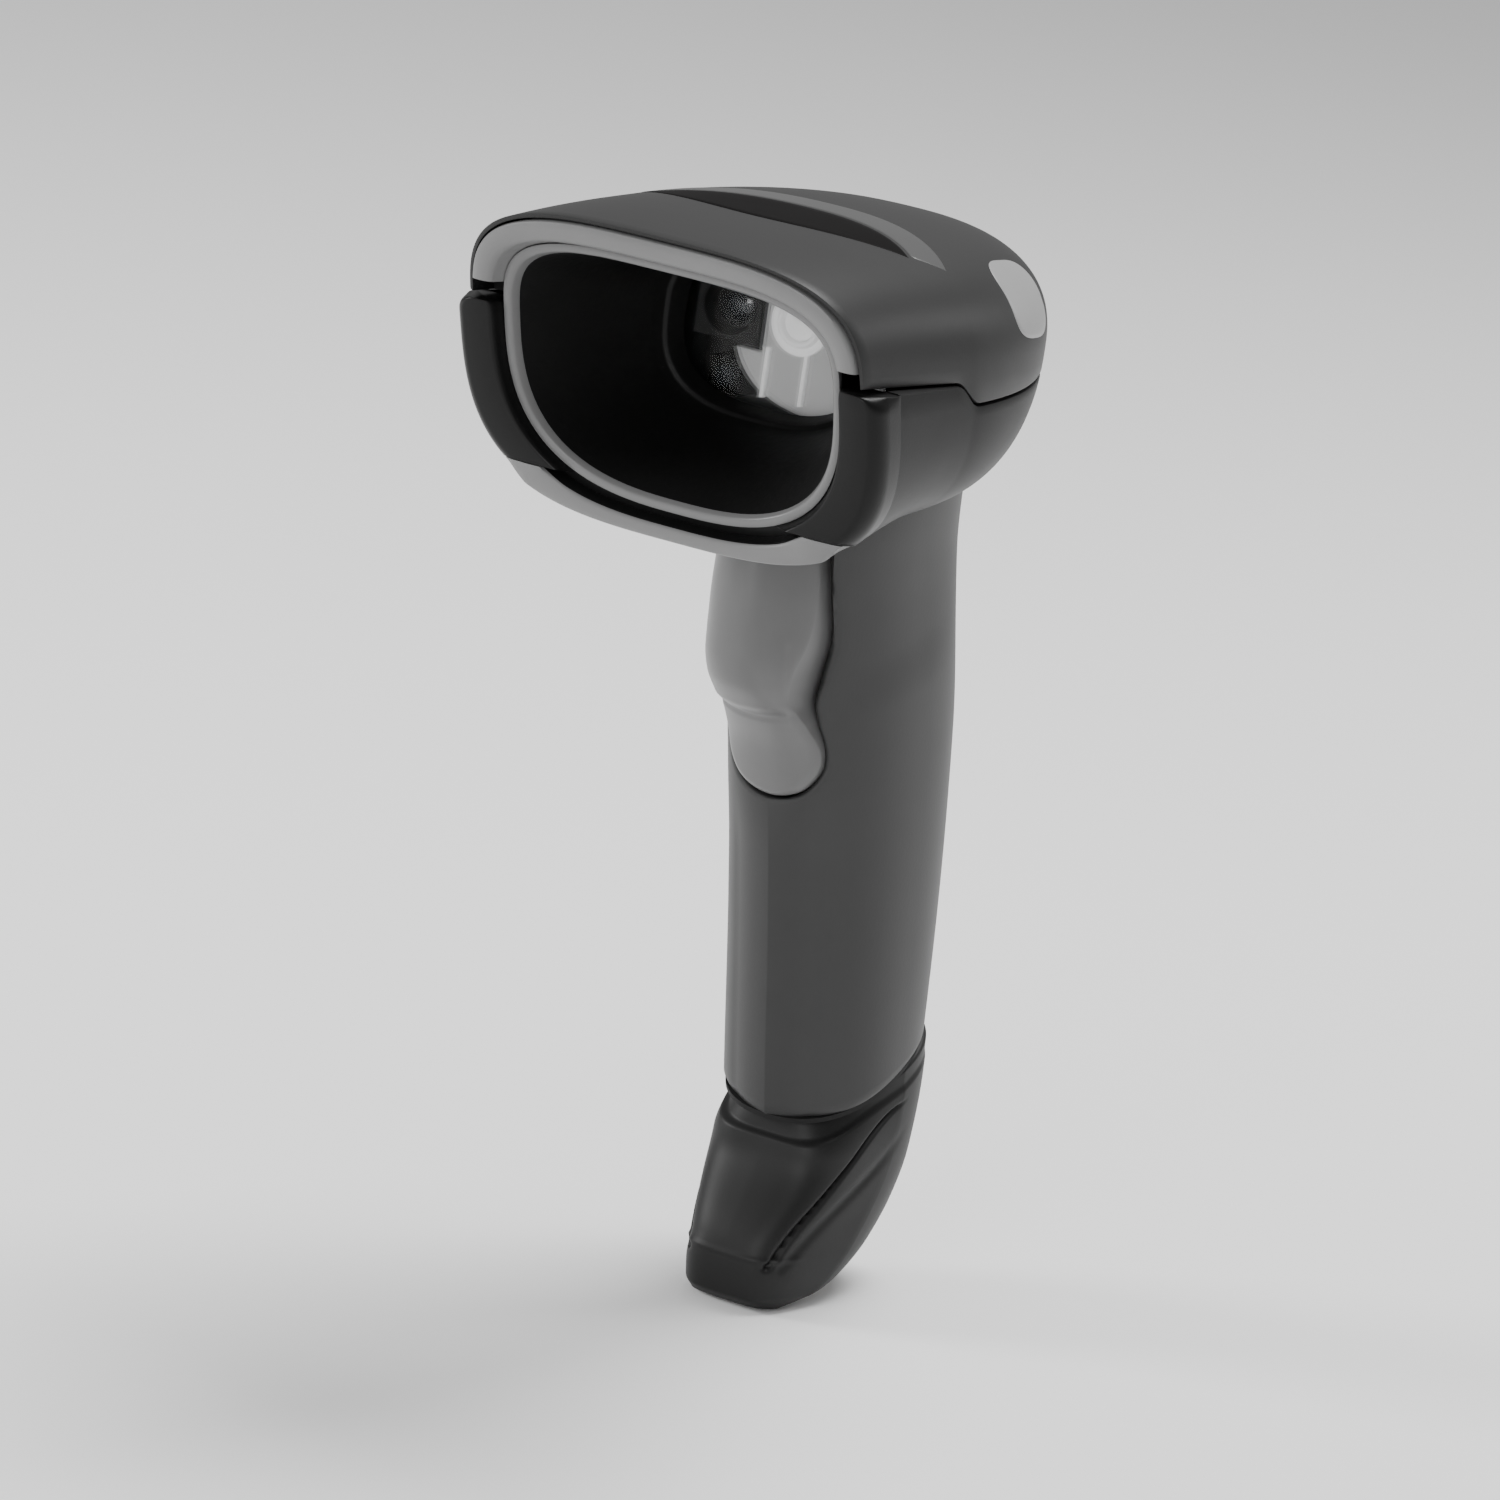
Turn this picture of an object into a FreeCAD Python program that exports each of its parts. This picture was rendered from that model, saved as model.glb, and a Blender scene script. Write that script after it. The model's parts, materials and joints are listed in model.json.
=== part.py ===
# Handheld barcode scanner: a pistol-grip imager with a flared nose and a cable foot.
#
# Layout frame, in millimetres: X = 0 is the mid-plane, Y runs back from the nose plane,
# Z runs up from the toe. Everything is drawn in that frame and written out in the row
# frame, whose origin is the centre of the hand's grip on the handle.
import FreeCAD, Part
import math
import os

from FreeCAD import Vector

os.makedirs("parts", exist_ok=True)

# Driving dimensions
GRIP_Y = 78.0            # centre of the grip in the layout frame
GRIP_Z = 62.0
WALL = 2.0               # moulded shell wall
GAP = 0.15               # visible gap between two fixed mouldings

NOSE_SLANT = math.tan(math.radians(20.5))
NOSE_Y = 5.2             # nose plane where it crosses the parting height
PARTING_Z = 146.8        # parting height at the nose
HEAD_BACK = 90.0         # rearmost point of the head
HEAD_BACK_Z = 141.0
HEAD_TOP = 161.3
HEAD_BOTTOM = 120.5
NOSE_CHIN = 3.2          # how far the lower lip drops below the head's underside
HEAD_HALF_WIDTH = 31.6
COVER_NOSE_HALF_WIDTH = 30.4
CHEEK_HALF_WIDTH = 33.0
RIM_DEPTH = 6.5          # how far rim and lip reach back from the nose plane

HOOD_BACK = 37.0         # plane of the scan window
HOOD_WALL = 1.2
WINDOW_THICK = 1.5

HANDLE_HALF_WIDTH = 12.9
JOINT_FRONT_Y = 67.0     # the slanted joint of handle and foot starts here
JOINT_FRONT_Z = 26.5
JOINT_SLOPE = 0.42
GRIP_LEAN = 16.0         # degrees that the handle's axis leans back

TRIGGER_AXIS_Y = 54.0
TRIGGER_AXIS_Z = 112.0
TRIGGER_HALF_WIDTH = 7.9
TRIGGER_TOP = 116.6
TRIGGER_PULL = 5.0       # degrees
TRIGGER_GAP = 0.45
AXLE_R = 1.25
AXLE_CLEARANCE = 0.06

SOCKET_WIDTH = 11.8      # ten-way modular socket, inside
SOCKET_HEIGHT = 6.8
SOCKET_DEPTH = 13.0

BOARD = 1.2              # thickness of every circuit board

# Scan opening at the nose and where the hood meets the window: half width, top, bottom and
# the height of the widest point
OPENING = {"half": 25.6, "top": 155.5, "bottom": 121.6, "middle": 143.0, "recess": 2.2}
HOOD_REAR = {"half": 15.0, "top": 152.5, "bottom": 133.0, "middle": 144.0}
TRIM_DEPTH = 1.6         # thin frame round the opening, front to back
TRIM_WIDTH = 1.2
NOSE_CLEARANCE = 0.1     # between that frame and the rim, lip and cheeks
RIM_INSET = 0.7          # rim set in from the head's outer form
RIM_END_Z = 148.2        # the rim ends above the parting line, the lip below it
LIP_TOP_Z = 123.3

# Inlays in the cover, seen from above: arcs that meet at their tips
LABEL = {"half": 20.8, "tip_y": 31.6, "front_y": 25.2, "back_y": 39.6}
INDICATOR = {"half": 24.5, "tip_y": 41.5, "back_y": 46.6}
INLAY_TOP = 0.15         # plates lie this far below the cover's surface
INLAY_BOTTOM = 0.75
INLAY_RECESS = 0.8

SCREW_X = 19.5           # two screws join housing and cover
SCREW_Y = 62.0
SCREW_HEAD_Z = 127.6     # their heads sit in pockets in the head's underside
BOSS_MEET_Z = 131.8      # the housing's posts end here, 0.2 mm below the cover's bosses
CAMERA_X = -9.0          # the camera and the lamp sit side by side
LAMP_X = 2.0
LENS_Z = 145.6
RIB_COUNT = 5            # ribs on the lamp plate
MAIN_Z = 132.0           # underside of the main board

HANDLE_TOP = 134.0       # the handle's form runs up into the head and is cut by it
SEAL = 0.9               # gap between handle and foot, filled by the seal
SWITCH_Z = 90.0
SWITCH_FACE_Y = 59.5
PLUNGER_PROUD = 0.8      # how far the plunger stands out of the switch
PUSH_LOST_MOTION = 1.8   # free travel of the trigger's rib before it meets the plunger
SPRING_Z = 98.0          # trigger return spring, a coil along Y
SPRING_FRONT = 46.25
SPRING_REAR = 63.3
SPRING_R = 2.2
SPRING_WIRE = 0.28
SPRING_TURNS = 6
SOCKET_Y = 80.0          # centre of the socket's mouth in the foot
SOCKET_Z = 3.4
SOCKET_LEAN = 14.0       # degrees
CONTACT_PITCH = 1.02
CONTACT_COUNT = 10
BOSS_TILT = math.radians(6)    # the foot screw follows the handle's rear wall

HEAD_POINTS = 40         # points round one section of the head, and of the handle and foot
HANDLE_POINTS = 36
nodes = {}


def keep(name, shape):
    """Stores one node, moved into the row frame."""
    moved = shape.copy()
    moved.translate(Vector(0, -GRIP_Y, -GRIP_Z))
    nodes[name] = moved


def box(x0, x1, y0, y1, z0, z1):
    return Part.makeBox(x1 - x0, y1 - y0, z1 - z0, Vector(x0, y0, z0))


def cylinder(radius, length, start, direction):
    return Part.makeCylinder(radius, length, Vector(*start), Vector(*direction))


def power(value, exponent):
    """Signed power, for superellipse outlines."""
    return math.copysign(abs(value) ** (2.0 / exponent), value)


def round_off(value, start, end, exponent):
    """1 up to start, then falls along a superellipse to 0 at end."""
    t = min(max((value - start) / (end - start), 0.0), 1.0)
    return (1.0 - t ** exponent) ** (1.0 / exponent)


def ease(value, points):
    """Smooth curve through (input, output) points, level slopes limited to stay monotone."""
    xs = [p[0] for p in points]
    ys = [p[1] for p in points]
    if value <= xs[0]:
        return ys[0]
    if value >= xs[-1]:
        return ys[-1]
    steps = [(ys[i + 1] - ys[i]) / (xs[i + 1] - xs[i]) for i in range(len(xs) - 1)]
    slopes = [steps[0]]
    for before, after in zip(steps, steps[1:]):
        slopes.append(0.0 if before * after <= 0 else 2 * before * after / (before + after))
    slopes.append(steps[-1])
    i = max(k for k in range(len(xs) - 1) if xs[k] <= value)
    h = xs[i + 1] - xs[i]
    t = (value - xs[i]) / h
    return ((2 * t ** 3 - 3 * t ** 2 + 1) * ys[i] + (t ** 3 - 2 * t ** 2 + t) * h * slopes[i]
            + (3 * t ** 2 - 2 * t ** 3) * ys[i + 1] + (t ** 3 - t ** 2) * h * slopes[i + 1])


def closed_wire(points):
    """A smooth closed curve through the points, spaced evenly so that sections match."""
    curve = Part.BSplineCurve()
    steps = list(range(len(points) + 1))
    curve.interpolate(Points=points, Parameters=[float(s) for s in steps], PeriodicFlag=True)
    return Part.Wire([curve.toShape()])


def loft(sections):
    solid = Part.makeLoft([closed_wire(s) for s in sections], True, False)
    if solid.Volume < 0:
        solid.reverse()
    return solid


def side_prism(outline, half_width=60.0):
    """A side-view outline of (y, z) points, made into a block across the whole width."""
    points = [Vector(-half_width, y, z) for y, z in outline]
    face = Part.Face(Part.makePolygon(points + [points[0]]))
    return face.extrude(Vector(2 * half_width, 0, 0))


def front_prism(outline, y0, y1):
    """A front-view outline of (x, z) points, made into a block from y0 to y1."""
    points = [Vector(x, y0, z) for x, z in outline]
    face = Part.Face(Part.makePolygon(points + [points[0]]))
    return face.extrude(Vector(0, y1 - y0, 0))


# ---------------------------------------------------------------- head form


def head_half_width(y, nose_half_width):
    front = nose_half_width + (HEAD_HALF_WIDTH - nose_half_width) * min(max((y - NOSE_Y) / 30, 0), 1)
    return front * round_off(y, 36.0, HEAD_BACK, 1.9)


def head_top(y):
    nose_drop = 0.9 * min(max((28 - y) / 23, 0), 1) ** 2
    return HEAD_BACK_Z + (HEAD_TOP - HEAD_BACK_Z) * round_off(y, 30.0, HEAD_BACK, 2.9) - nose_drop


def head_bottom(y):
    chin = NOSE_CHIN * max(1 - (y - NOSE_Y) / 24, 0) ** 1.5 if y > NOSE_Y else NOSE_CHIN
    return HEAD_BACK_Z - (HEAD_BACK_Z - HEAD_BOTTOM) * round_off(y, 44.0, HEAD_BACK, 2.3) - chin


def head_section(y, nose_half_width, inset=0.0):
    """The head's outline on a plane that leans like the nose in front and stands up behind."""
    half = head_half_width(y, nose_half_width) - inset
    top = head_top(y) - inset
    bottom = head_bottom(y) + inset
    middle = min(max(144.0, bottom + 0.5), top - 0.5)
    along = (y - NOSE_Y) / (HEAD_BACK - NOSE_Y)
    upper = 3.4 + (2.2 - 3.4) * along
    lower = 3.3 + (2.3 - 3.3) * along
    lean = NOSE_SLANT * min(max(1 - (y - NOSE_Y) / 60, 0), 1)
    points = []
    for i in range(HEAD_POINTS):
        a = 2 * math.pi * i / HEAD_POINTS
        up = math.sin(a)
        shape = upper if up >= 0 else lower
        x = half * power(math.cos(a), shape)
        reach = (top - middle) if up >= 0 else (middle - bottom)
        z = middle + reach * power(up, shape)
        points.append(Vector(x, y + (PARTING_Z - z) * lean, z))
    return points


def head_form(nose_half_width, inset=0.0, start=NOSE_Y, end=None):
    last = HEAD_BACK - 0.4 - inset if end is None else end
    count = 13
    stations = [start + (last - start) * math.sin(math.pi / 2 * i / (count - 1)) for i in range(count)]
    return loft([head_section(y, nose_half_width, inset) for y in stations])


def parting_outline(lift, above):
    """Side view of everything above (or below) the line where cover and housing part."""
    line = [(-20.0, 147.6), (31.0, 144.6), (37.5, 141.2), (120.0, 140.0)]
    line = [(y, z + lift) for y, z in line]
    end = 200.0 if above else 60.0
    return line + [(120.0, end), (-20.0, end)]


# ---------------------------------------------------------------- scan opening and hood


def hood_section(depth, grow=0.0):
    """The opening's outline at a depth behind the nose plane, shrinking to the window."""
    length = HOOD_BACK - NOSE_Y
    t = min(max(depth / length, 0.0), 1.0)

    def between(key):
        return OPENING[key] + (HOOD_REAR[key] - OPENING[key]) * t
    lean = NOSE_SLANT * (1 - t)
    points = []
    for i in range(HEAD_POINTS):
        a = 2 * math.pi * i / HEAD_POINTS
        up = math.sin(a)
        shape = 3.6 if up >= 0 else 2.7
        reach = between("top") - between("middle") if up >= 0 else between("middle") - between("bottom")
        x = (between("half") + grow) * power(math.cos(a), shape)
        z = between("middle") + (reach + grow) * power(up, shape)
        points.append(Vector(x, NOSE_Y + depth + (PARTING_Z - z) * lean, z))
    return points


def hood_form(start, end, grow=0.0, count=6):
    return loft([hood_section(start + (end - start) * i / (count - 1), grow) for i in range(count)])


hood_length = HOOD_BACK - NOSE_Y
keep("opening_trim", hood_form(OPENING["recess"], OPENING["recess"] + TRIM_DEPTH, TRIM_WIDTH, 3)
     .cut(hood_form(0.0, OPENING["recess"] + TRIM_DEPTH + 2, 0.0, 3)))
hood_start = OPENING["recess"] + TRIM_DEPTH + 0.05
keep("scan_hood", hood_form(hood_start, hood_length, HOOD_WALL)
     .cut(hood_form(hood_start - 3, hood_length, 0.0)))

# ---------------------------------------------------------------- head shells
above = side_prism(parting_outline(GAP / 2, True))
below = side_prism(parting_outline(-GAP / 2, False))
nose_clear = hood_form(-6.0, 14.0, TRIM_WIDTH + NOSE_CLEARANCE, 4)

band_front = NOSE_Y
band_back = NOSE_Y + RIM_DEPTH


def nose_band(half_width, inset, start, end):
    """The nose's outer form between two slanted planes, less the opening."""
    return loft([head_section(start + (end - start) * i / 3, half_width, inset)
                 for i in range(4)]).cut(nose_clear)


rim_zone = box(-60, 60, -20, 60, RIM_END_Z, 200)
keep("nose_rim", nose_band(COVER_NOSE_HALF_WIDTH, RIM_INSET, band_front, band_back).common(rim_zone))

lip_zone = box(-60, 60, -20, 60, 60, LIP_TOP_Z)
keep("nose_lip", nose_band(CHEEK_HALF_WIDTH, 0.0, band_front, band_back).common(lip_zone))

cover_outer = head_form(COVER_NOSE_HALF_WIDTH, start=NOSE_Y + 0.9)
cover_inner = head_form(COVER_NOSE_HALF_WIDTH, WALL, start=NOSE_Y - 4)
rim_rebate = loft([head_section(NOSE_Y - 4 + (RIM_DEPTH + 4.15) * i / 3, COVER_NOSE_HALF_WIDTH, RIM_INSET - GAP)
                   for i in range(4)])
cover = cover_outer.cut(cover_inner).common(above).cut(rim_rebate)

housing_outer = head_form(CHEEK_HALF_WIDTH, start=NOSE_Y)
housing_inner = head_form(CHEEK_HALF_WIDTH, WALL, start=band_back + GAP)
lip_pocket = loft([head_section(NOSE_Y - 4 + (RIM_DEPTH + 4.15) * i / 3, CHEEK_HALF_WIDTH, -1.0)
                   for i in range(4)]).common(box(-60, 60, -20, 60, 60, LIP_TOP_Z + GAP))
housing = housing_outer.cut(housing_inner).common(below).cut(nose_clear).cut(lip_pocket)
housing = housing.cut(hood_form(-6.0, hood_length, HOOD_WALL + 0.15))

# ---------------------------------------------------------------- cover inlays


def arc_face(x_tip, y_tip, y_first, y_second):
    """A lens outline, seen from above, with two arcs that meet at its tips."""
    tips = Vector(-x_tip, y_tip, 0), Vector(x_tip, y_tip, 0)
    first = Part.Arc(tips[0], Vector(0, y_first, 0), tips[1]).toShape()
    second = Part.Arc(tips[1], Vector(0, y_second, 0), tips[0]).toShape()
    face = Part.Face(Part.Wire([first, second]))
    return face.extrude(Vector(0, 0, 100)).translated(Vector(0, 0, 120))


def skin(inset, depth):
    """A layer of the cover, from inset down to depth below its outer surface."""
    return (head_form(COVER_NOSE_HALF_WIDTH, inset, start=NOSE_Y + 0.9)
            .cut(head_form(COVER_NOSE_HALF_WIDTH, depth, start=NOSE_Y - 2)))


inlay_layer = skin(-0.5, INLAY_RECESS).common(box(-40, 40, 5, 60, 150, 200))
label_prism = arc_face(LABEL["half"], LABEL["tip_y"], LABEL["front_y"], LABEL["back_y"])
label_hole = arc_face(LABEL["half"] + 0.3, LABEL["tip_y"], LABEL["front_y"] - 0.15, LABEL["back_y"] + 0.15)
lens_prism = arc_face(INDICATOR["half"], INDICATOR["tip_y"], LABEL["back_y"] - 4, INDICATOR["back_y"])
lens_prism = lens_prism.cut(arc_face(LABEL["half"] + 6, LABEL["tip_y"] + 1.2, 10, LABEL["back_y"] + 0.7))
plate_layer = skin(INLAY_TOP, INLAY_BOTTOM).common(box(-40, 40, 5, 60, 150, 200))
keep("label_plate", plate_layer.common(label_prism))
keep("indicator_lens", plate_layer.common(lens_prism))
cover = cover.cut(inlay_layer.common(label_hole.fuse(lens_prism)))

# Screw bosses in the rear of the head
for side in (-1, 1):
    boss = cylinder(2.6, 28, (side * SCREW_X, SCREW_Y, BOSS_MEET_Z + 0.2), (0, 0, 1)).common(cover_inner)
    cover = cover.fuse(boss).cut(cylinder(1.0, 12, (side * SCREW_X, SCREW_Y, 129.0), (0, 0, 1)))
    post = cylinder(3.3, BOSS_MEET_Z - 120.2, (side * SCREW_X, SCREW_Y, 120.2), (0, 0, 1)).common(housing_outer)
    housing = housing.fuse(post).cut(cylinder(1.3, 20, (side * SCREW_X, SCREW_Y, 118), (0, 0, 1)))
    pocket = cylinder(2.5, SCREW_HEAD_Z + 1.65 - 117, (side * SCREW_X, SCREW_Y, 117), (0, 0, 1))
    housing = housing.cut(pocket)


def screw(x, y, z, direction, head_r, head_h, shank_r, shank_h):
    """A pan-head screw whose head starts at the point and whose shank follows."""
    along = Vector(*direction)
    start = Vector(x, y, z)
    head = Part.makeCylinder(head_r, head_h, start, along)
    slot = Part.makeCylinder(head_r * 0.42, head_h * 0.5, start, along)
    shank = Part.makeCylinder(shank_r, shank_h, start + along * head_h, along)
    return head.cut(slot).fuse(shank)


keep("cover_screws", Part.makeCompound([
    screw(side * SCREW_X, SCREW_Y, SCREW_HEAD_Z, (0, 0, 1), 2.2, 1.6, 0.95, 10.0) for side in (-1, 1)]))

# ---------------------------------------------------------------- scan engine
ENGINE_Y = HOOD_BACK + WINDOW_THICK + 0.3

keep("exit_window", box(-16.8, 16.8, HOOD_BACK + 0.15, HOOD_BACK + 0.15 + WINDOW_THICK, 131.6, 153.6))

chassis = box(-17.5, 17.5, ENGINE_Y, ENGINE_Y + 10.0, 131.4, 153.8)
chassis = chassis.cut(box(-16.3, 16.3, ENGINE_Y - 1, ENGINE_Y + 8.8, 132.4, 152.8))
chassis = chassis.cut(box(CAMERA_X - 4, CAMERA_X + 4, ENGINE_Y, ENGINE_Y + 11, LENS_Z - 4, LENS_Z + 4))
chassis = chassis.cut(cylinder(2.6, 6, (LAMP_X, ENGINE_Y + 6, LENS_Z), (0, 1, 0)))
for side in (-1, 1):
    chassis = chassis.fuse(box(side * 14 - 2, side * 14 + 2, ENGINE_Y + 2, ENGINE_Y + 7, 124.6, 131.6))
    chassis = chassis.cut(cylinder(0.8, 8, (side * 12.5, ENGINE_Y + 5, 134.5), (0, 1, 0)))
keep("engine_chassis", chassis)

shroud = box(CAMERA_X - 5, CAMERA_X + 5, ENGINE_Y + 0.3, ENGINE_Y + 7.6, LENS_Z - 4.6, LENS_Z + 4.6)
shroud = shroud.cut(Part.makeCone(4.0, 3.2, 2.4, Vector(CAMERA_X, ENGINE_Y + 0.3, LENS_Z), Vector(0, 1, 0)))
shroud = shroud.cut(cylinder(3.2, 6, (CAMERA_X, ENGINE_Y + 2.5, LENS_Z), (0, 1, 0)))
keep("imager_shroud", shroud)
barrel = cylinder(3.15, 4.9, (CAMERA_X, ENGINE_Y + 2.7, LENS_Z), (0, 1, 0))
barrel = barrel.cut(cylinder(2.3, 5.2, (CAMERA_X, ENGINE_Y + 2.6, LENS_Z), (0, 1, 0)))
keep("lens_barrel", barrel)
dome = Part.makeSphere(4.0, Vector(CAMERA_X, ENGINE_Y + 7.2, LENS_Z))
glass = cylinder(2.25, 2.4, (CAMERA_X, ENGINE_Y + 3.0, LENS_Z), (0, 1, 0)).common(dome)
keep("imaging_lens", glass)

lamp_back = ENGINE_Y + 2.0
lamp_outline = [Vector(CAMERA_X + 5.6, 0, 152.0), Vector(15.6, 0, 152.0), Vector(15.6, 0, 133.0),
                Vector(6.0, 0, 133.0)]
lamp_low = Vector(-7.4, 0, 140.4)
lamp_edges = [Part.LineSegment(a, b).toShape() for a, b in zip(lamp_outline, lamp_outline[1:])]
lamp_edges.append(Part.Arc(lamp_outline[-1], Vector(-3.6, 0, 135.4), lamp_low).toShape())
lamp_edges.append(Part.LineSegment(lamp_low, Vector(CAMERA_X + 5.6, 0, 140.4)).toShape())
lamp_edges.append(Part.LineSegment(Vector(CAMERA_X + 5.6, 0, 140.4), lamp_outline[0]).toShape())
lamp = Part.Face(Part.Wire(lamp_edges)).extrude(Vector(0, 1.2, 0))
lamp.translate(Vector(0, ENGINE_Y + 0.8, 0))
ring = cylinder(3.2, 1.4, (LAMP_X, ENGINE_Y + 0.2, LENS_Z), (0, 1, 0))
lamp = lamp.fuse(ring.cut(cylinder(2.2, 1.0, (LAMP_X, ENGINE_Y, LENS_Z), (0, 1, 0))))
for k in range(RIB_COUNT):
    x = -1.5 + 3.4 * k
    lamp = lamp.fuse(box(x - 0.35, x + 0.35, ENGINE_Y + 0.3, ENGINE_Y + 1.0, 135.4, 141.6))
keep("illumination_lens", lamp)

board_y = ENGINE_Y + 10.1
keep("engine_board", box(-16.5, 16.5, board_y, board_y + BOARD, 132.4, 153.4)
     .cut(cylinder(0.95, 4, (12.5, board_y - 1, 134.5), (0, 1, 0)))
     .cut(cylinder(0.95, 4, (-12.5, board_y - 1, 134.5), (0, 1, 0))))
keep("image_sensor", box(CAMERA_X - 3.4, CAMERA_X + 3.4, board_y - 1.9, board_y, LENS_Z - 3.4, LENS_Z + 3.4))
keep("lamp_board", box(LAMP_X - 4, 14, ENGINE_Y + 5.4, ENGINE_Y + 6.2, 134, 150))
lamps = [box(x - 1.4, x + 1.4, ENGINE_Y + 4.6, ENGINE_Y + 5.4, z - 1.4, z + 1.4)
         for x, z in ((LAMP_X, LENS_Z), (10.0, LENS_Z))]
keep("lamp_leds", Part.makeCompound(lamps))
aim_y = ENGINE_Y + 0.6
aim_body = box(CAMERA_X - 2.4, CAMERA_X + 2.4, aim_y + 1.0, aim_y + 6.0, 133.2, 138.2)
keep("aimer_module", aim_body.cut(cylinder(1.5, 2.0, (CAMERA_X, aim_y + 0.9, 135.7), (0, 1, 0))))
keep("aimer_lens", cylinder(1.45, 1.2, (CAMERA_X, aim_y + 1.2, 135.7), (0, 1, 0)))
keep("engine_screws", Part.makeCompound([
    screw(side * 12.5, board_y + BOARD + 0.9, 134.5, (0, -1, 0), 1.5, 0.9, 0.75, 3.0) for side in (-1, 1)]))

# ---------------------------------------------------------------- main board and its parts
main_x = 11.0
main_y0 = 54.5
main_y1 = 79.0
keep("main_board", box(-main_x, main_x, main_y0, main_y1, MAIN_Z, MAIN_Z + BOARD))
main_top = MAIN_Z + BOARD
keep("main_chips", Part.makeCompound([
    box(-8.5, 0.4, 67.5, 76.5, main_top, main_top + 1.1),
    box(-9.5, -5.5, 60.5, 65.5, main_top, main_top + 0.9),
    box(4.0, 9.5, 72.4, 75.8, main_top, main_top + 0.9),
    box(5.5, 8.5, 77.0, 78.4, main_top, main_top + 0.7)]))
keep("beeper", cylinder(4.6, 4.2, (5.6, 66.6, main_top), (0, 0, 1))
     .cut(cylinder(0.9, 1.0, (5.6, 66.6, main_top + 3.6), (0, 0, 1))))
keep("status_led", Part.makeCompound([
    box(x - 1.2, x + 1.2, 54.9, 57.1, main_top, main_top + 1.0) for x in (-4.0, 4.0)]))
guide = box(-6.6, 6.6, 55.2, 56.8, main_top + 1.4, 157.6)
guide = guide.cut(box(-4.5, 4.5, 55, 57, main_top, 150))
keep("light_guide", guide)

flex_half = 4.0
flex = side_prism([(51.1, 148.0), (51.4, 148.0), (51.4, 137.6), (52.6, 136.4), (58.0, 136.4), (58.0, 136.1),
                   (52.4, 136.1), (51.1, 137.4)], flex_half)
keep("flex_cable", flex)
keep("flex_connectors", Part.makeCompound([
    box(-5, 5, 51.5, 52.8, 143.0, 147.6),
    box(-5, 5, 57.6, 61.0, main_top, 136.0)]))


# ---------------------------------------------------------------- handle form
HANDLE_FRONT = [(20, 69.5), (JOINT_FRONT_Z, 67.4), (57, 59.6), (74.5, 54.6), (90, 49.6), (104, 44.0), (118, 39.0),
                (134, 36.0)]
HANDLE_BACK = [(20, 99.2), (36, 98.6), (54, 97.4), (84, 93.6), (100, 89.4), (113, 85.0), (124, 81.5),
               (134, 79.0)]
HANDLE_WIDE = [(20, 12.4), (60, HANDLE_HALF_WIDTH), (100, 13.2), (112, 13.8), (122, 15.2)]


def handle_section(z, inset=0.0):
    front = ease(z, HANDLE_FRONT) + inset
    back = ease(z, HANDLE_BACK) - inset
    half = ease(z, HANDLE_WIDE) - inset
    middle = (front + back) / 2
    points = []
    for i in range(HANDLE_POINTS):
        a = 2 * math.pi * i / HANDLE_POINTS
        points.append(Vector(half * power(math.cos(a), 2.35),
                             middle + (back - front) / 2 * power(math.sin(a), 2.25), z))
    return points


def handle_form(low, high, inset=0.0, count=10):
    return loft([handle_section(low + (high - low) * i / (count - 1), inset) for i in range(count)])


def joint_outline(lift, above):
    """Side view of the space above or below the slanted joint of handle and foot."""
    ends = [(0.0, JOINT_FRONT_Z - JOINT_FRONT_Y * JOINT_SLOPE + lift),
            (140.0, JOINT_FRONT_Z + (140.0 - JOINT_FRONT_Y) * JOINT_SLOPE + lift)]
    far = 250.0 if above else -80.0
    return ends + [(140.0, far), (0.0, far)]


def lean(shape):
    """Turns a shape drawn upright about the grip's centre into the handle's own lean."""
    turned = shape.copy()
    turned.rotate(Vector(0, 0, 0), Vector(1, 0, 0), GRIP_LEAN)
    turned.translate(Vector(0, GRIP_Y, GRIP_Z))
    return turned


handle = handle_form(20.0, HANDLE_TOP).cut(handle_form(16.0, HANDLE_TOP + 3, WALL + 0.2))
handle = handle.common(side_prism(joint_outline(SEAL / 2, True)))
handle = handle.cut(head_form(CHEEK_HALF_WIDTH, -GAP, start=NOSE_Y - 3))

# Trigger window: straight upper part, narrower waist, round tongue
T = TRIGGER_HALF_WIDTH


def trigger_outline(grow):
    """Front view of the trigger, from its top edge down one side, round the tongue and up."""
    half = [(0.97, TRIGGER_TOP), (1.0, 108.0), (0.96, 101.0), (0.82, 96.0), (0.73, 92.0), (0.82, 88.5),
            (0.92, 84.5), (0.86, 81.0), (0.55, 77.8), (0.0, 76.5)]
    right = [Vector(T * x + grow * (1 if x else 0), 0, z - (grow if z < 84 else 0)) for x, z in half]
    left = [Vector(-p.x, 0, p.z) for p in reversed(right[:-1])]
    curve = Part.BSplineCurve()
    curve.interpolate(Points=right + left)
    top = Part.LineSegment(left[-1], right[0]).toShape()
    return Part.Face(Part.Wire([curve.toShape(), top]))


def trigger_block(grow, y0, y1):
    return trigger_outline(grow).extrude(Vector(0, y1 - y0, 0)).translated(Vector(0, y0, 0))


window_top = 140.0
window = trigger_block(TRIGGER_GAP, 20, 66)
window = window.fuse(box(-T * 0.96 - TRIGGER_GAP, T * 0.96 + TRIGGER_GAP, 20, 66, TRIGGER_TOP - 1, window_top))
handle = handle.cut(window)

# Trigger skin: its front stands proud of the handle and comes flush at the tongue
TRIGGER_FRONT = [(76, 53.9), (80, 52.0), (84, 50.0), (88, 46.6), (91.5, 43.0), (95, 39.6), (99, 37.4),
                 (103, 36.4), (108, 36.0), (114, 36.2)]


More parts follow.
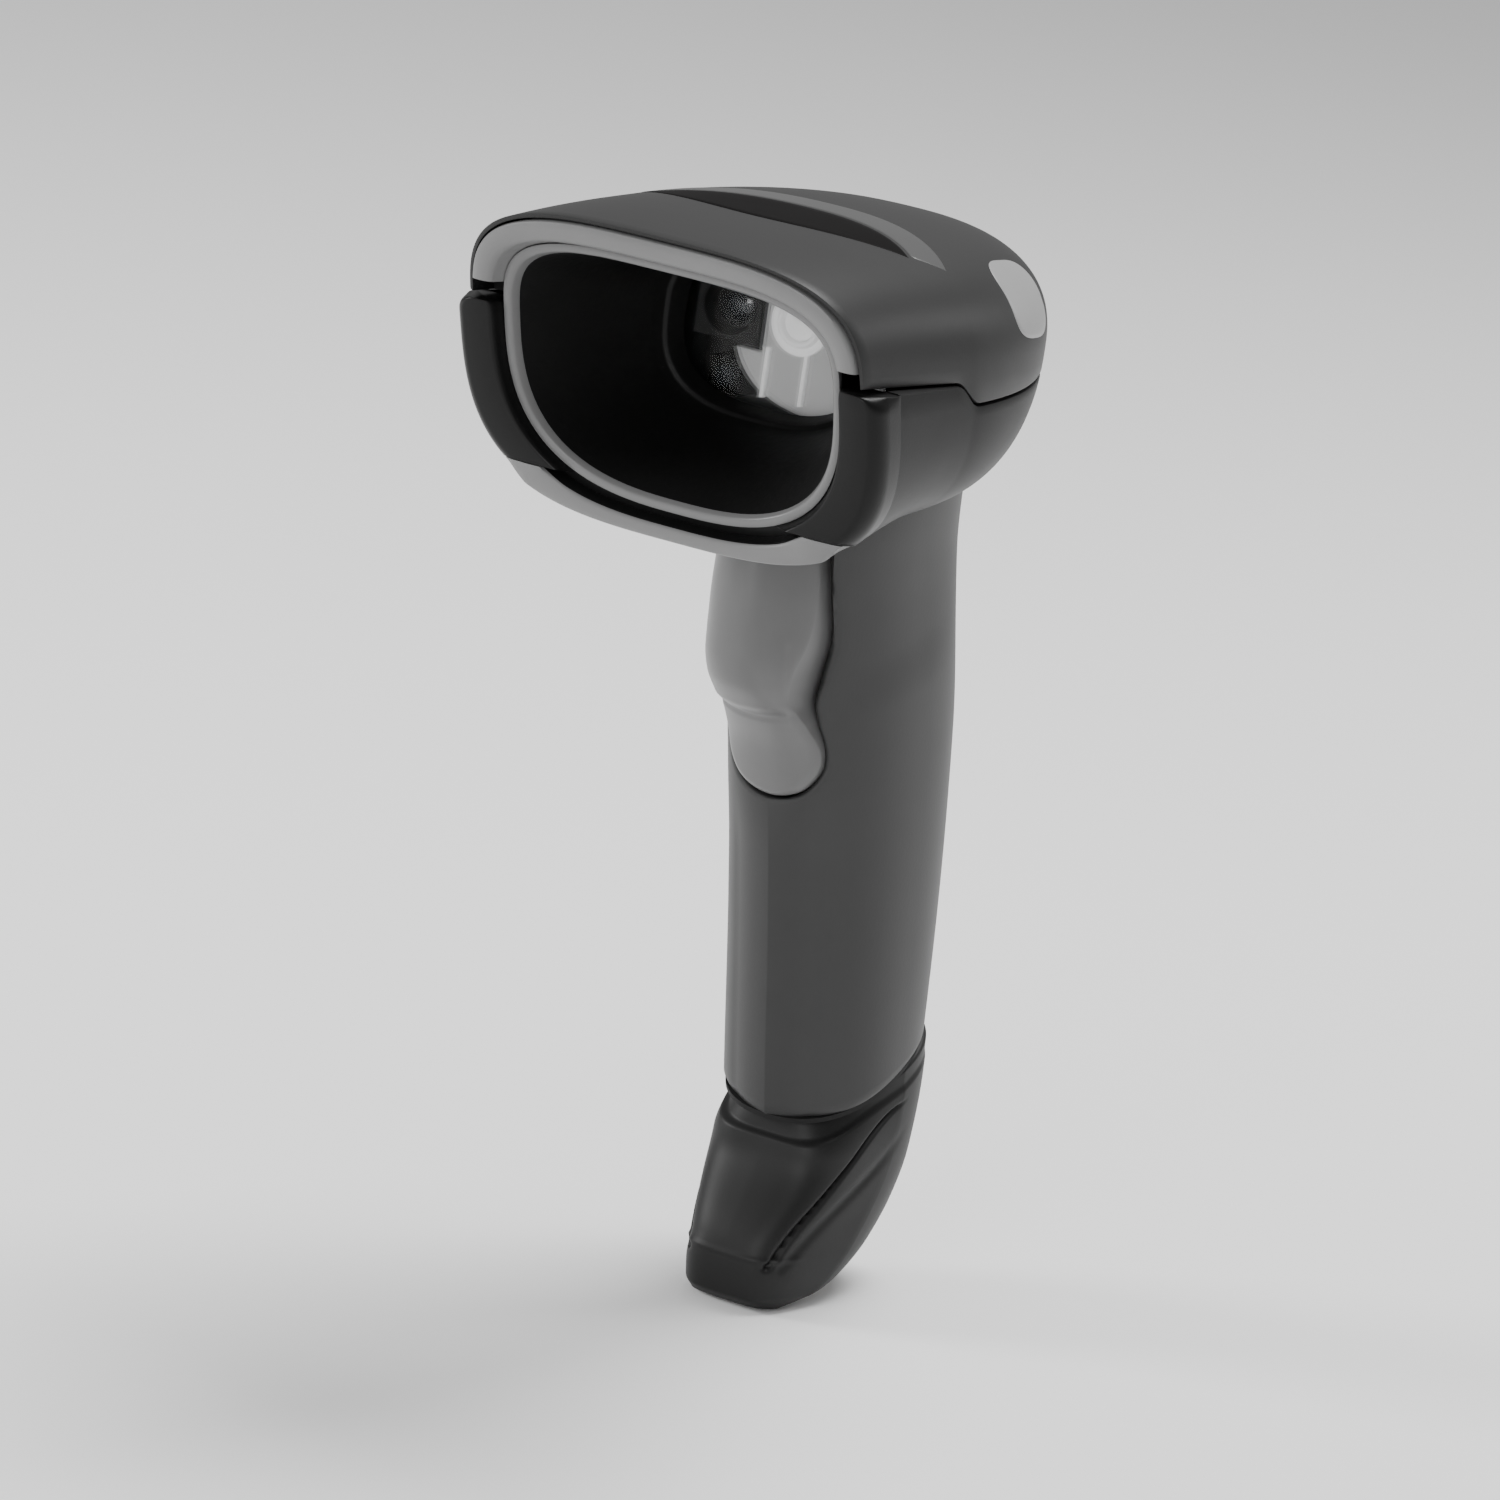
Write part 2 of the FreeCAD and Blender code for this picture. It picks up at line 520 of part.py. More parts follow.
def trigger_section(z, inset=0.0):
    front = ease(z, TRIGGER_FRONT) + inset
    half = 10.0 - inset
    back = 86.0
    points = []
    for i in range(HANDLE_POINTS):
        a = 2 * math.pi * i / HANDLE_POINTS
        shape = 2.3
        reach = 62.0 - front if math.sin(a) < 0 else back - 62.0
        points.append(Vector(half * power(math.cos(a), shape), 62.0 + reach * power(math.sin(a), shape), z))
    return points


def trigger_form(inset=0.0):
    return loft([trigger_section(75.0 + 43.0 * i / 12, inset) for i in range(13)])


def trigger_space(outline_grow, inset, back_shift):
    """The trigger's form inside its outline, in front of a line that runs down into the handle."""
    rear = [(20, 120), (20, 70), (59.5 - back_shift, 70), (59.5 - back_shift, 80), (56.2 - back_shift, 91),
            (56.2 - back_shift, 120)]
    return trigger_form(inset).common(trigger_block(outline_grow, 21, 65)).common(side_prism(rear))


trigger = trigger_space(0.0, 0.0, 0.0).cut(trigger_space(-1.6, 2.0, -3.0))
hub_half = T - 0.8
hub = cylinder(2.6, 2 * hub_half, (-hub_half, TRIGGER_AXIS_Y, TRIGGER_AXIS_Z), (1, 0, 0))
web = side_prism([(37.4, 113.8), (37.4, 103), (50, 106), (55.8, 110), (55.8, 113.8)], 1.0)
trigger = trigger.fuse([hub, web])
push_rib = box(-1.5, 1.5, 46.5, SWITCH_FACE_Y - PLUNGER_PROUD - PUSH_LOST_MOTION, SWITCH_Z - 1.3, SWITCH_Z + 1.3)
seat = cylinder(3.2, 6.0, (0, 40.2, 98.0), (0, 1, 0))
trigger = trigger.fuse([push_rib, seat])
trigger = trigger.cut(cylinder(AXLE_R + AXLE_CLEARANCE, 60, (-30, TRIGGER_AXIS_Y, TRIGGER_AXIS_Z), (1, 0, 0)))
keep("trigger", trigger)

# ---------------------------------------------------------------- trigger axle, spring and switch
bearing_x0 = T + 0.5
for side in (-1, 1):
    start = side * bearing_x0 if side > 0 else -30.0
    bearing = cylinder(2.6, 30 - bearing_x0, (start, TRIGGER_AXIS_Y, TRIGGER_AXIS_Z), (1, 0, 0))
    handle = handle.fuse(bearing.common(handle_form(95.0, 118.0, 1.0)))
handle = handle.cut(cylinder(AXLE_R, 24.2, (-12.1, TRIGGER_AXIS_Y, TRIGGER_AXIS_Z), (1, 0, 0)))
keep("trigger_axle", cylinder(AXLE_R, 24.0, (-12.0, TRIGGER_AXIS_Y, TRIGGER_AXIS_Z), (1, 0, 0)))

helix = Part.makeHelix((SPRING_REAR - SPRING_FRONT - 2 * SPRING_WIRE) / SPRING_TURNS,
                       SPRING_REAR - SPRING_FRONT - 2 * SPRING_WIRE, SPRING_R)
ring_wire = Part.Wire([Part.makeCircle(SPRING_WIRE, Vector(SPRING_R, 0, 0), Vector(0, 1, 0))])
spring = Part.Wire(helix.Edges).makePipeShell([ring_wire], True, True)
spring.rotate(Vector(0, 0, 0), Vector(1, 0, 0), -90)
spring.translate(Vector(0, SPRING_FRONT + SPRING_WIRE, SPRING_Z))
keep("trigger_spring", spring)
switch_board_y = 63.4
keep("switch_board", box(-8.5, 8.5, switch_board_y, switch_board_y + BOARD, 84.0, 103.0))
keep("trigger_switch", box(-3.0, 3.0, SWITCH_FACE_Y + 0.4, switch_board_y, SWITCH_Z - 3.0, SWITCH_Z + 3.0)
     .cut(cylinder(1.65, 2.2, (0, SWITCH_FACE_Y, SWITCH_Z), (0, 1, 0))))
keep("switch_plunger", cylinder(1.6, 2.6, (0, SWITCH_FACE_Y - PLUNGER_PROUD, SWITCH_Z), (0, 1, 0)))
for side in (-1, 1):
    rail = box(side * 9.6 - 0.9, side * 9.6 + 0.9, switch_board_y - 1.4, switch_board_y + BOARD + 1.4, 84.0, 103.0)
    slot = box(side * 8.0 - 0.8, side * 8.0 + 0.8, switch_board_y - 0.05, switch_board_y + BOARD + 0.05, 83, 104)
    arm = box(min(side * 9.6, side * 13), max(side * 9.6, side * 13), switch_board_y - 1.4,
              switch_board_y + BOARD + 1.4, 84.0, 103.0)
    handle = handle.fuse(rail.fuse(arm).common(handle_form(70.0, 118.0, 1.0)).cut(slot))

# ---------------------------------------------------------------- handle board and cable run
keep("grip_board", lean(box(-8.0, 8.0, -1.0, 0.2, -24.0, 26.0)))
keep("grip_chips", Part.makeCompound([
    lean(box(-4.5, 4.5, 0.2, 1.3, 8.0, 17.0)),
    lean(box(-5.5, -0.5, 0.2, 1.4, -4.0, 2.0)),
    lean(box(1.5, 5.5, 0.2, 2.0, -5.0, -1.0)),
    lean(cylinder(2.4, 5.0, (4.4, 2.7, -14.0), (0, 0, 1)))]))
keep("neck_cable", side_prism([(66.0, 131.9), (70.0, 131.9), (70.0, 119.0), (73.6, 106.0), (74.6, 89.2),
                               (71.2, 88.2), (70.4, 105.0), (66.0, 118.0)], 3.2)
     .common(box(-3.2, 3.2, 60, 90, 80, 131.9)))

# ---------------------------------------------------------------- foot
FOOT_FRONT = [(0, 63.4), (1.5, 61.9), (6.5, 61.0), (8.5, 61.3), (22, 68.0), (30, 69.0), (42, 66.5)]
FOOT_BACK = [(0, 74.0), (1.2, 80.0), (3.5, 86.0), (7.5, 92.0), (13.0, 96.2), (20, 98.4), (30, 98.9), (42, 98.4)]
FOOT_WIDE = [(0, 8.0), (2, 9.6), (8, 11.2), (18, 12.2), (30, 12.5), (42, 12.5)]
FOOT_NOSE = [(0, 6.4), (2, 7.4), (8, 8.0), (22, 10.8), (30, 9.6), (42, 8.6)]


def foot_section(z, inset=0.0):
    front = ease(z, FOOT_FRONT) + inset
    back = ease(z, FOOT_BACK) - inset
    half = ease(z, FOOT_WIDE) - inset
    nose = ease(z, FOOT_NOSE) - inset
    middle = front + (back - front) * 0.55
    blunt = ease(z, [(0, 4.5), (22, 4.5), (30, 2.6), (42, 2.4)])
    points = []
    for i in range(HANDLE_POINTS):
        a = 2 * math.pi * i / HANDLE_POINTS
        s = math.sin(a)
        if s < 0:
            reach = power(s, blunt)
            x = (half + (nose - half) * abs(reach)) * power(math.cos(a), blunt)
            y = middle + (middle - front) * reach
        else:
            x = half * power(math.cos(a), 2.4)
            y = middle + (back - middle) * power(s, 2.4)
        points.append(Vector(x, y, z))
    return points


def foot_form(low, high, inset=0.0):
    levels = [low + (high - low) * (i / 13.0) ** 1.25 for i in range(14)]
    return loft([foot_section(z, inset) for z in levels])


def socket_place(shape):
    turned = shape.copy()
    turned.rotate(Vector(0, 0, 0), Vector(1, 0, 0), SOCKET_LEAN)
    turned.translate(Vector(0, SOCKET_Y, SOCKET_Z))
    return turned


foot = foot_form(0.0, 41.0).cut(foot_form(3.2, 46.0, WALL + 0.2))
foot = foot.common(side_prism(joint_outline(-SEAL / 2, False)))
pad = socket_place(box(-9.8, 9.8, -8.5, 8.6, 0.0, 2.4)).common(foot_form(0.0, 41.0))
foot = foot.cut(socket_place(box(-40, 40, -9.5, 9.5, -20.0, 0.0))).fuse(pad)
shell_half = SOCKET_WIDTH / 2 + 1.2
shell_deep = SOCKET_HEIGHT / 2 + 1.2
foot = foot.cut(socket_place(box(-shell_half - 0.1, shell_half + 0.1, -shell_deep - 0.1, shell_deep + 1.6, -5, 16)))

socket = box(-shell_half, shell_half, -shell_deep, shell_deep + 1.5, 0.1, SOCKET_DEPTH + 2.4)
socket = socket.cut(box(-SOCKET_WIDTH / 2, SOCKET_WIDTH / 2, -SOCKET_HEIGHT / 2, SOCKET_HEIGHT / 2,
                        -1.0, SOCKET_DEPTH))
socket = socket.cut(box(-2.0, 2.0, 0.0, SOCKET_HEIGHT / 2 + 1.6, -1.0, SOCKET_DEPTH - 3))
keep("cable_socket", socket_place(socket))
keep("socket_contacts", Part.makeCompound([
    socket_place(box((k - 4.5) * CONTACT_PITCH - 0.2, (k - 4.5) * CONTACT_PITCH + 0.2, -SOCKET_HEIGHT / 2 + 0.02,
                     -SOCKET_HEIGHT / 2 + 0.5, 3.0, SOCKET_DEPTH - 0.05)) for k in range(CONTACT_COUNT)]))
keep("socket_board", socket_place(box(-6.8, 6.8, -4.4, 5.8, SOCKET_DEPTH + 2.5, SOCKET_DEPTH + 2.5 + BOARD)))
ribbon_top = socket_place(Part.Vertex(0, 0, SOCKET_DEPTH + 2.5 + BOARD)).Point
keep("foot_cable", side_prism([(ribbon_top.y - 0.5, ribbon_top.z + 0.4), (ribbon_top.y + 0.6, ribbon_top.z + 0.5),
                               (79.8, 30.5), (83.6, 38.0),
                               (82.8, 38.4), (78.8, 30.8)], 4.0))

seal = handle_form(20.0, 46.0, 0.35, 6).cut(handle_form(18.0, 50.0, 1.8, 6))
seal = seal.common(side_prism(joint_outline(-SEAL / 2 + 0.05, True)))
seal = seal.common(side_prism(joint_outline(SEAL / 2 - 0.05, False)))
keep("foot_seal", seal)

# Foot screw behind the socket, into a boss in the handle's rear wall
boss_axis = (0.0, -math.sin(BOSS_TILT), math.cos(BOSS_TILT))


def on_boss(z):
    return (0.0, 92.4 - (z - 9.0) * math.tan(BOSS_TILT), z)


foot_boss = cylinder(2.9, 26, on_boss(6.0), boss_axis).common(foot_form(0.0, 41.0, 0.8))
foot_boss = foot_boss.common(side_prism(joint_outline(-SEAL / 2 - 0.3, False)))
foot = foot.fuse(foot_boss)
foot = foot.cut(cylinder(1.2, 40, on_boss(3.0), boss_axis)).cut(cylinder(2.3, 10.8, on_boss(3.0), boss_axis))
handle_boss = cylinder(2.8, 17, on_boss(27.0), boss_axis).fuse(box(-1.4, 1.4, 90, 99, 36, 43.5))
handle_boss = handle_boss.common(handle_form(18.0, 60.0, 1.0))
handle_boss = handle_boss.common(side_prism(joint_outline(SEAL / 2 + 0.3, True)))
handle = handle.fuse(handle_boss).cut(cylinder(1.0, 16, on_boss(30.0), boss_axis))
keep("foot_screw", screw(*on_boss(12.05), boss_axis, 2.0, 1.5, 0.95, 27.0))

keep("foot", foot)
keep("handle_shell", handle)

# The head's floor opens over the handle for the trigger's top and the cable
neck_hole = handle_form(100.0, 127.0, WALL + 0.3)
housing = housing.cut(neck_hole.common(box(-11, 11, 46, 90, 100, 140)))
keep("top_cover", cover)
keep("lower_housing", housing)

for name, shape in nodes.items():
    shape.exportStep(os.path.join("parts", name + ".step"))
print(len(nodes), "nodes")
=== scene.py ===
import json
import math

import bmesh
import bpy
from mathutils import Matrix, Vector


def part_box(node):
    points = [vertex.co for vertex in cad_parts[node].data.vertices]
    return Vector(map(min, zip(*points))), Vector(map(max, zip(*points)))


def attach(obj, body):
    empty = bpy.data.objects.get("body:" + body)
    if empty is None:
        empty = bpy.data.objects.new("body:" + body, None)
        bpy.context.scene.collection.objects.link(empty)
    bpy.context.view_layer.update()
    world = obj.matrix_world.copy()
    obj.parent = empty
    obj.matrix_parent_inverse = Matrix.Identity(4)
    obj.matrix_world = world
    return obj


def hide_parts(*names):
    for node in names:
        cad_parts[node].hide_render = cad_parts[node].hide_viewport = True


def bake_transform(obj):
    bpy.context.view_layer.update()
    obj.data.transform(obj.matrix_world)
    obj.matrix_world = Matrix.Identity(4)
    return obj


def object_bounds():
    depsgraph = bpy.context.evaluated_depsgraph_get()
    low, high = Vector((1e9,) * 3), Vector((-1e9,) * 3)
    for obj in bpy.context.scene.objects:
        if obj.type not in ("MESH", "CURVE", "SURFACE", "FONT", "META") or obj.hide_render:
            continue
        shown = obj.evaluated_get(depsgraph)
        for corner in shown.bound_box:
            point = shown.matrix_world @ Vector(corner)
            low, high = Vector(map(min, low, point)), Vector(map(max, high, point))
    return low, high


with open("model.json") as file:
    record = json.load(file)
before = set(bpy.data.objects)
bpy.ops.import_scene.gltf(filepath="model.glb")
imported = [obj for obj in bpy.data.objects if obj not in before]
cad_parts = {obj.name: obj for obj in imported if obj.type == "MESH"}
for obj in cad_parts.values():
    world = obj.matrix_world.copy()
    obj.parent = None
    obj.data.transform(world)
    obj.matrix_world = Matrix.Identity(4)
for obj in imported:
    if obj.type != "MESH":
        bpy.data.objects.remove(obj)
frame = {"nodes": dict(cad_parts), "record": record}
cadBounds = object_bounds()
cadNodes = frame["nodes"]
print("frame loaded:", len(cadNodes), "nodes")

# The drawing's own axes, in millimetres: y back from the nose, z up from the toe.
windowFrontY = 37.15
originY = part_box("exit_window")[0].y - windowFrontY / 1000
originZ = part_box("foot")[0].z


def place(x, y, z):
    return Vector((x / 1000, originY + y / 1000, originZ + z / 1000))


def power(value, exponent):
    return math.copysign(abs(value) ** (2.0 / exponent), value)


def clamp(value, low=0.0, high=1.0):
    return min(max(value, low), high)


def smooth(value, start, end):
    t = clamp((value - start) / (end - start))
    return t * t * (3 - 2 * t)


def roundOff(value, start, end, exponent):
    t = clamp((value - start) / (end - start))
    return max(1 - t ** exponent, 0) ** (1 / exponent)


# a smooth curve through (input, output) points that never overshoots
def ease(value, points):
    xs = [p[0] for p in points]
    ys = [p[1] for p in points]
    if value <= xs[0]:
        return ys[0]
    if value >= xs[-1]:
        return ys[-1]
    steps = [(ys[i + 1] - ys[i]) / (xs[i + 1] - xs[i]) for i in range(len(xs) - 1)]
    slopes = [steps[0]]
    for before, after in zip(steps, steps[1:]):
        slopes.append(0 if before * after <= 0 else 2 * before * after / (before + after))
    slopes.append(steps[-1])
    i = max(k for k in range(len(xs) - 1) if xs[k] <= value)
    h = xs[i + 1] - xs[i]
    t = (value - xs[i]) / h
    return ((2 * t ** 3 - 3 * t ** 2 + 1) * ys[i] + (t ** 3 - 2 * t ** 2 + t) * h * slopes[i]
            + (3 * t ** 2 - 2 * t ** 3) * ys[i + 1] + (t ** 3 - t ** 2) * h * slopes[i + 1])


def evenly(start, end, count):
    return [start + (end - start) * i / (count - 1) for i in range(count)]


# how far a rounded edge drops at a distance from the edge line
def rollDrop(distance, radius):
    if distance >= radius:
        return 0.0
    reach = radius - max(distance, 0)
    return radius - math.sqrt(max(radius * radius - reach * reach, 0))


class Builder:
    def __init__(self):
        self.points = []
        self.faces = []
        self.second = set()

    def grid(self, rows, closeColumns=False, closeRows=False, secondRows=()):
        start = len(self.points)
        width = len(rows[0])
        for row in rows:
            self.points += row
        rowCount = len(rows)
        for i in range(rowCount if closeRows else rowCount - 1):
            below = start + i * width
            above = start + ((i + 1) % rowCount) * width
            for j in range(width if closeColumns else width - 1):
                k = (j + 1) % width
                if i in secondRows:
                    self.second.add(len(self.faces))
                self.faces.append((below + j, below + k, above + k, above + j))

    def strip(self, first, second):
        self.grid([list(first), list(second)])

    def cap(self, loop):
        start = len(self.points)
        self.points += loop
        self.faces.append(tuple(range(start, start + len(loop))))

    def make(self, name, sharpAngle=38, mergeMm=0.004):
        mesh = bpy.data.meshes.new(name)
        mesh.from_pydata([place(*p) for p in self.points], [], self.faces)
        for index in self.second:
            mesh.polygons[index].material_index = 1
        work = bmesh.new()
        work.from_mesh(mesh)
        bmesh.ops.remove_doubles(work, verts=work.verts, dist=mergeMm / 1000)
        bmesh.ops.dissolve_degenerate(work, edges=work.edges, dist=1e-7)
        bmesh.ops.recalc_face_normals(work, faces=work.faces)
        work.to_mesh(mesh)
        work.free()
        mesh.shade_smooth()
        mesh.set_sharp_from_angle(angle=math.radians(sharpAngle))
        piece = bpy.data.objects.new(name, mesh)
        bpy.context.scene.collection.objects.link(piece)
        return piece


def dress(piece, material, body="scanner", nodes=(), second=None):
    if len(piece.data.materials):
        piece.data.materials.clear()
    piece.data.materials.append(material)
    if second:
        piece.data.materials.append(second)
    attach(piece, body)
    if nodes:
        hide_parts(*nodes)
    return piece


def linearColour(hexCode):
    channels = [int(hexCode[i:i + 2], 16) / 255 for i in (1, 3, 5)]
    return [c / 12.92 if c <= 0.04045 else ((c + 0.055) / 1.055) ** 2.4 for c in channels] + [1]


def addNode(tree, kind, values=None, links=None):
    node = tree.nodes.new(kind)
    for key, value in (values or {}).items():
        if key in node.inputs:
            node.inputs[key].default_value = value
        else:
            setattr(node, key, value)
    for key, source in (links or {}).items():
        tree.links.new(source, node.inputs[key])
    return node


def newMaterial(name):
    material = bpy.data.materials.new(name)
    material.use_nodes = True
    return material, material.node_tree, material.node_tree.nodes["Principled BSDF"]


# Moulded plastic: a colour that drifts a little, spark-eroded grain and uneven satin sheen.
def mouldedPlastic(name, hexCode, roughness=0.4, grainMm=0.4, bump=0.2, drift=0.05, level=0.27):
    material, tree, shader = newMaterial(name)
    shader.inputs["IOR"].default_value = 1.53
    shader.inputs["Specular IOR Level"].default_value = level
    coords = addNode(tree, "ShaderNodeTexCoord").outputs["Object"]
    broad = addNode(tree, "ShaderNodeTexNoise", {"Scale": 60.0, "Detail": 4.0}, {"Vector": coords})
    ramp = addNode(tree, "ShaderNodeValToRGB", None, {"Fac": broad.outputs["Fac"]})
    colour = linearColour(hexCode)[:3]
    ramp.color_ramp.elements[0].position = 0.3
    ramp.color_ramp.elements[1].position = 0.7
    ramp.color_ramp.elements[0].color = [c * (1 - drift) for c in colour] + [1]
    ramp.color_ramp.elements[1].color = [min(c * (1 + drift), 1) for c in colour] + [1]
    tree.links.new(ramp.outputs["Color"], shader.inputs["Base Color"])
    sheen = addNode(tree, "ShaderNodeMapRange", {"To Min": roughness - 0.04, "To Max": roughness + 0.05},
                    {"Value": broad.outputs["Fac"]})
    tree.links.new(sheen.outputs["Result"], shader.inputs["Roughness"])
    grain = addNode(tree, "ShaderNodeTexNoise", {"Scale": 1000.0 / grainMm, "Detail": 2.0}, {"Vector": coords})
    relief = addNode(tree, "ShaderNodeBump", {"Strength": bump, "Distance": 0.00004},
                     {"Height": grain.outputs["Fac"]})
    tree.links.new(relief.outputs["Normal"], shader.inputs["Normal"])
    return material


# Clear or tinted mouldings and glass.
def clearMaterial(name, hexCode, roughness=0.05, transmission=1.0, ior=1.49, alpha=1.0):
    material, tree, shader = newMaterial(name)
    shader.inputs["Base Color"].default_value = linearColour(hexCode)
    shader.inputs["Roughness"].default_value = roughness
    shader.inputs["Transmission Weight"].default_value = transmission
    shader.inputs["IOR"].default_value = ior
    shader.inputs["Alpha"].default_value = alpha
    return material


# Plated or plain metal with faint brushing.
def metalMaterial(name, hexCode, roughness=0.3):
    material, tree, shader = newMaterial(name)
    shader.inputs["Base Color"].default_value = linearColour(hexCode)
    shader.inputs["Metallic"].default_value = 1.0
    coords = addNode(tree, "ShaderNodeTexCoord").outputs["Object"]
    brush = addNode(tree, "ShaderNodeTexNoise", {"Scale": 3000.0, "Detail": 2.0}, {"Vector": coords})
    sheen = addNode(tree, "ShaderNodeMapRange", {"To Min": roughness - 0.06, "To Max": roughness + 0.08},
                    {"Value": brush.outputs["Fac"]})
    tree.links.new(sheen.outputs["Result"], shader.inputs["Roughness"])
    return material


# Circuit board: solder mask over faint tracks.
def boardMaterial(name):
    material, tree, shader = newMaterial(name)
    shader.inputs["Roughness"].default_value = 0.3
    coords = addNode(tree, "ShaderNodeTexCoord").outputs["Object"]
    tracks = addNode(tree, "ShaderNodeTexBrick", {
        "Scale": 420.0, "Mortar Size": 0.03, "Color1": linearColour("#0f4a26"), "Color2": linearColour("#0f4a26"),
        "Mortar": linearColour("#1c6b3a")}, {"Vector": coords})
    tree.links.new(tracks.outputs["Color"], shader.inputs["Base Color"])
    return material


coverPlastic = mouldedPlastic("satinGreyCoverAbs", "#282828", 0.44, level=0.22)  # cover, satin PC/ABS
housingPaintedShadePlastic = mouldedPlastic("satinGreyHousingAbsPaintedShade", "#191919", 0.46, level=0.14)  # housing, the same resin, darker as painted shade on the head's lower half
cheekBlackAndChannelShade = mouldedPlastic("satinBlackCheekAbsAndPaintedChannelShade", "#0d0d0d", 0.36, level=0.16)  # cheeks either side of the opening; also the lip's channel, painted black as shade
gripPlastic = mouldedPlastic("fineGrainGripAbs", "#303030", 0.45, 0.5, 0.25)  # handle, fine grain
footPlastic = mouldedPlastic("satinBlackFootAbs", "#131313", 0.5)  # foot
rimPlastic = mouldedPlastic("midGreyRimAbs", "#6e6e6e", 0.40)  # nose rim and lip
trimPlastic = mouldedPlastic("trimGreyAbs", "#6a6a6a", 0.32)  # thin frame of the opening
triggerPlastic = mouldedPlastic("lightGreyTriggerAbs", "#606060", 0.34, 0.4, 0.1)  # trigger, smoother
hoodPlastic = mouldedPlastic("sparkErodedBlackPc", "#0a0a0a", 0.5, 0.9, 1.0)  # coarse matt texture
shroudPlastic = mouldedPlastic("glossBlackShroudPc", "#0c0c0c", 0.25)  # camera shroud
labelFilm = mouldedPlastic("printedLabelFilm", "#070505", 0.5, 0.6, 0.03, level=0.04)  # back-printed film
smokedLens = mouldedPlastic("smokedIndicatorPc", "#4a4a4a", 0.35, 0.6, 0.03)  # indicator strip, unlit
sideLensPaintedReflection = mouldedPlastic("paleSideLightPaintedReflectionPc", "#9c9c9c", 0.35, 0.6, 0.03)  # side lights at the rear, unlit; their pale tone is a painted reflection of the bright surroundings


# Milky plastic with a painted glow: emission that paints light onto a part that holds no lamp.
def milkyPlasticWithPaintedGlow(name, hexCode, paintedGlow):
    material = mouldedPlastic(name, hexCode, 0.35, 0.6, 0.05)
    shader = material.node_tree.nodes["Principled BSDF"]
    shader.inputs["Emission Color"].default_value = linearColour("#c8c8c8")
    shader.inputs["Emission Strength"].default_value = paintedGlow
    return material


lampPlatePaintedGlow = milkyPlasticWithPaintedGlow("milkyLampPlatePaintedGlowPc", "#a8a8a8", 0.06)   # translucent lamp plate, with a faint painted glow
lampRingPaintedGlow = milkyPlasticWithPaintedGlow("milkyLampRingPaintedGlowPc", "#ececec", 0.26)  # thicker ring and ribs on the plate, with a stronger painted glow
chipEpoxy = mouldedPlastic("mouldedChipEpoxy", "#232325", 0.5)
sealRubber = mouldedPlastic("blackSealRubber", "#0e0e0e", 0.7)
connectorPbt = mouldedPlastic("whiteConnectorPbt", "#c9c5b8", 0.45)
flexFilm = mouldedPlastic("amberFlexFilm", "#a8641d", 0.3)
clearAcrylic = clearMaterial("clearAcrylicWindow", "#f6f8f8", 0.02, 1.0, 1.49, 0.18)
coatedGlass = clearMaterial("coatedLensGlass", "#3a3c44", 0.05, 0.6, 1.6)
steel = metalMaterial("zincPlatedSteel", "#b9bcc0", 0.3)
gold = metalMaterial("goldFlashedBronze", "#d8ac55", 0.25)
boardGreen = boardMaterial("greenSolderMask")

slotMaterials = {"dark_abs": coverPlastic, "handle_abs": gripPlastic, "foot_abs": footPlastic,
                 "light_grey_abs": rimPlastic, "trim_grey": trimPlastic, "trigger_grey": triggerPlastic,
                 "hood_black": hoodPlastic, "barrel_black": shroudPlastic, "label_film": labelFilm,
                 "smoked_pc": smokedLens, "diffuser_pc": lampPlatePaintedGlow, "chip_epoxy": chipEpoxy,
                 "seal_rubber": sealRubber, "connector_pbt": connectorPbt, "flex_film": flexFilm,
                 "clear_pmma": clearAcrylic, "coated_glass": coatedGlass, "spring_steel": steel,
                 "steel_screw": steel, "switch_steel": steel, "gold_contact": gold, "board_green": boardGreen}
slotOf = {part["node"]: part["material_slot"] for part in frame["record"]["subparts"]}
for node, piece in cadNodes.items():
    better = slotMaterials.get(slotOf.get(node))
    if better:
        for index in range(len(piece.data.materials)):
            piece.data.materials[index] = better
print("materials made")

# head form
head = {"noseY": 5.2, "partingZ": 146.8, "backY": 89.9, "backZ": 141.0, "topRise": 20.3, "bottomDrop": 20.5,
        "halfWidth": 31.6, "coverNose": 30.4, "cheekNose": 33.0, "chin": 3.2, "slantDegrees": 20.5,
        "wall": 2.0, "gap": 0.3, "edge": 0.45, "bandDepth": 6.5}
slant = math.tan(math.radians(head["slantDegrees"]))


def headSection(y, noseHalf, inset=0.0):
    back = head["backY"] - inset
    front = noseHalf + (head["halfWidth"] - noseHalf) * clamp((y - head["noseY"]) / 30)
    half = (front - inset) * roundOff(y, 36, back, 1.9)
    top = head["backZ"] + (head["topRise"] - inset) * roundOff(y, 30, back, 2.9) - 0.9 * clamp((28 - y) / 23) ** 2
    chin = head["chin"] * clamp(1 - (y - head["noseY"]) / 24) ** 1.5
    bottom = head["backZ"] - (head["bottomDrop"] - inset) * roundOff(y, 44, back, 2.3) - chin
    along = (y - head["noseY"]) / (head["backY"] - head["noseY"])
    return {"y": y, "half": half, "top": top, "bottom": bottom,
            "middle": head["backZ"] + min(3.0, 0.5 * (top - head["backZ"])),
            "upper": 3.4 - 1.2 * along, "lower": 3.3 - along, "lean": slant * clamp(1 - (y - head["noseY"]) / 60)}


def sectionPoint(section, angle):
    up = math.sin(angle)
    shape = section["upper"] if up >= 0 else section["lower"]
    reach = section["top"] - section["middle"] if up >= 0 else section["middle"] - section["bottom"]
    x = section["half"] * power(math.cos(angle), shape)
    z = section["middle"] + reach * power(up, shape)
    return x, section["y"] + (head["partingZ"] - z) * section["lean"], z


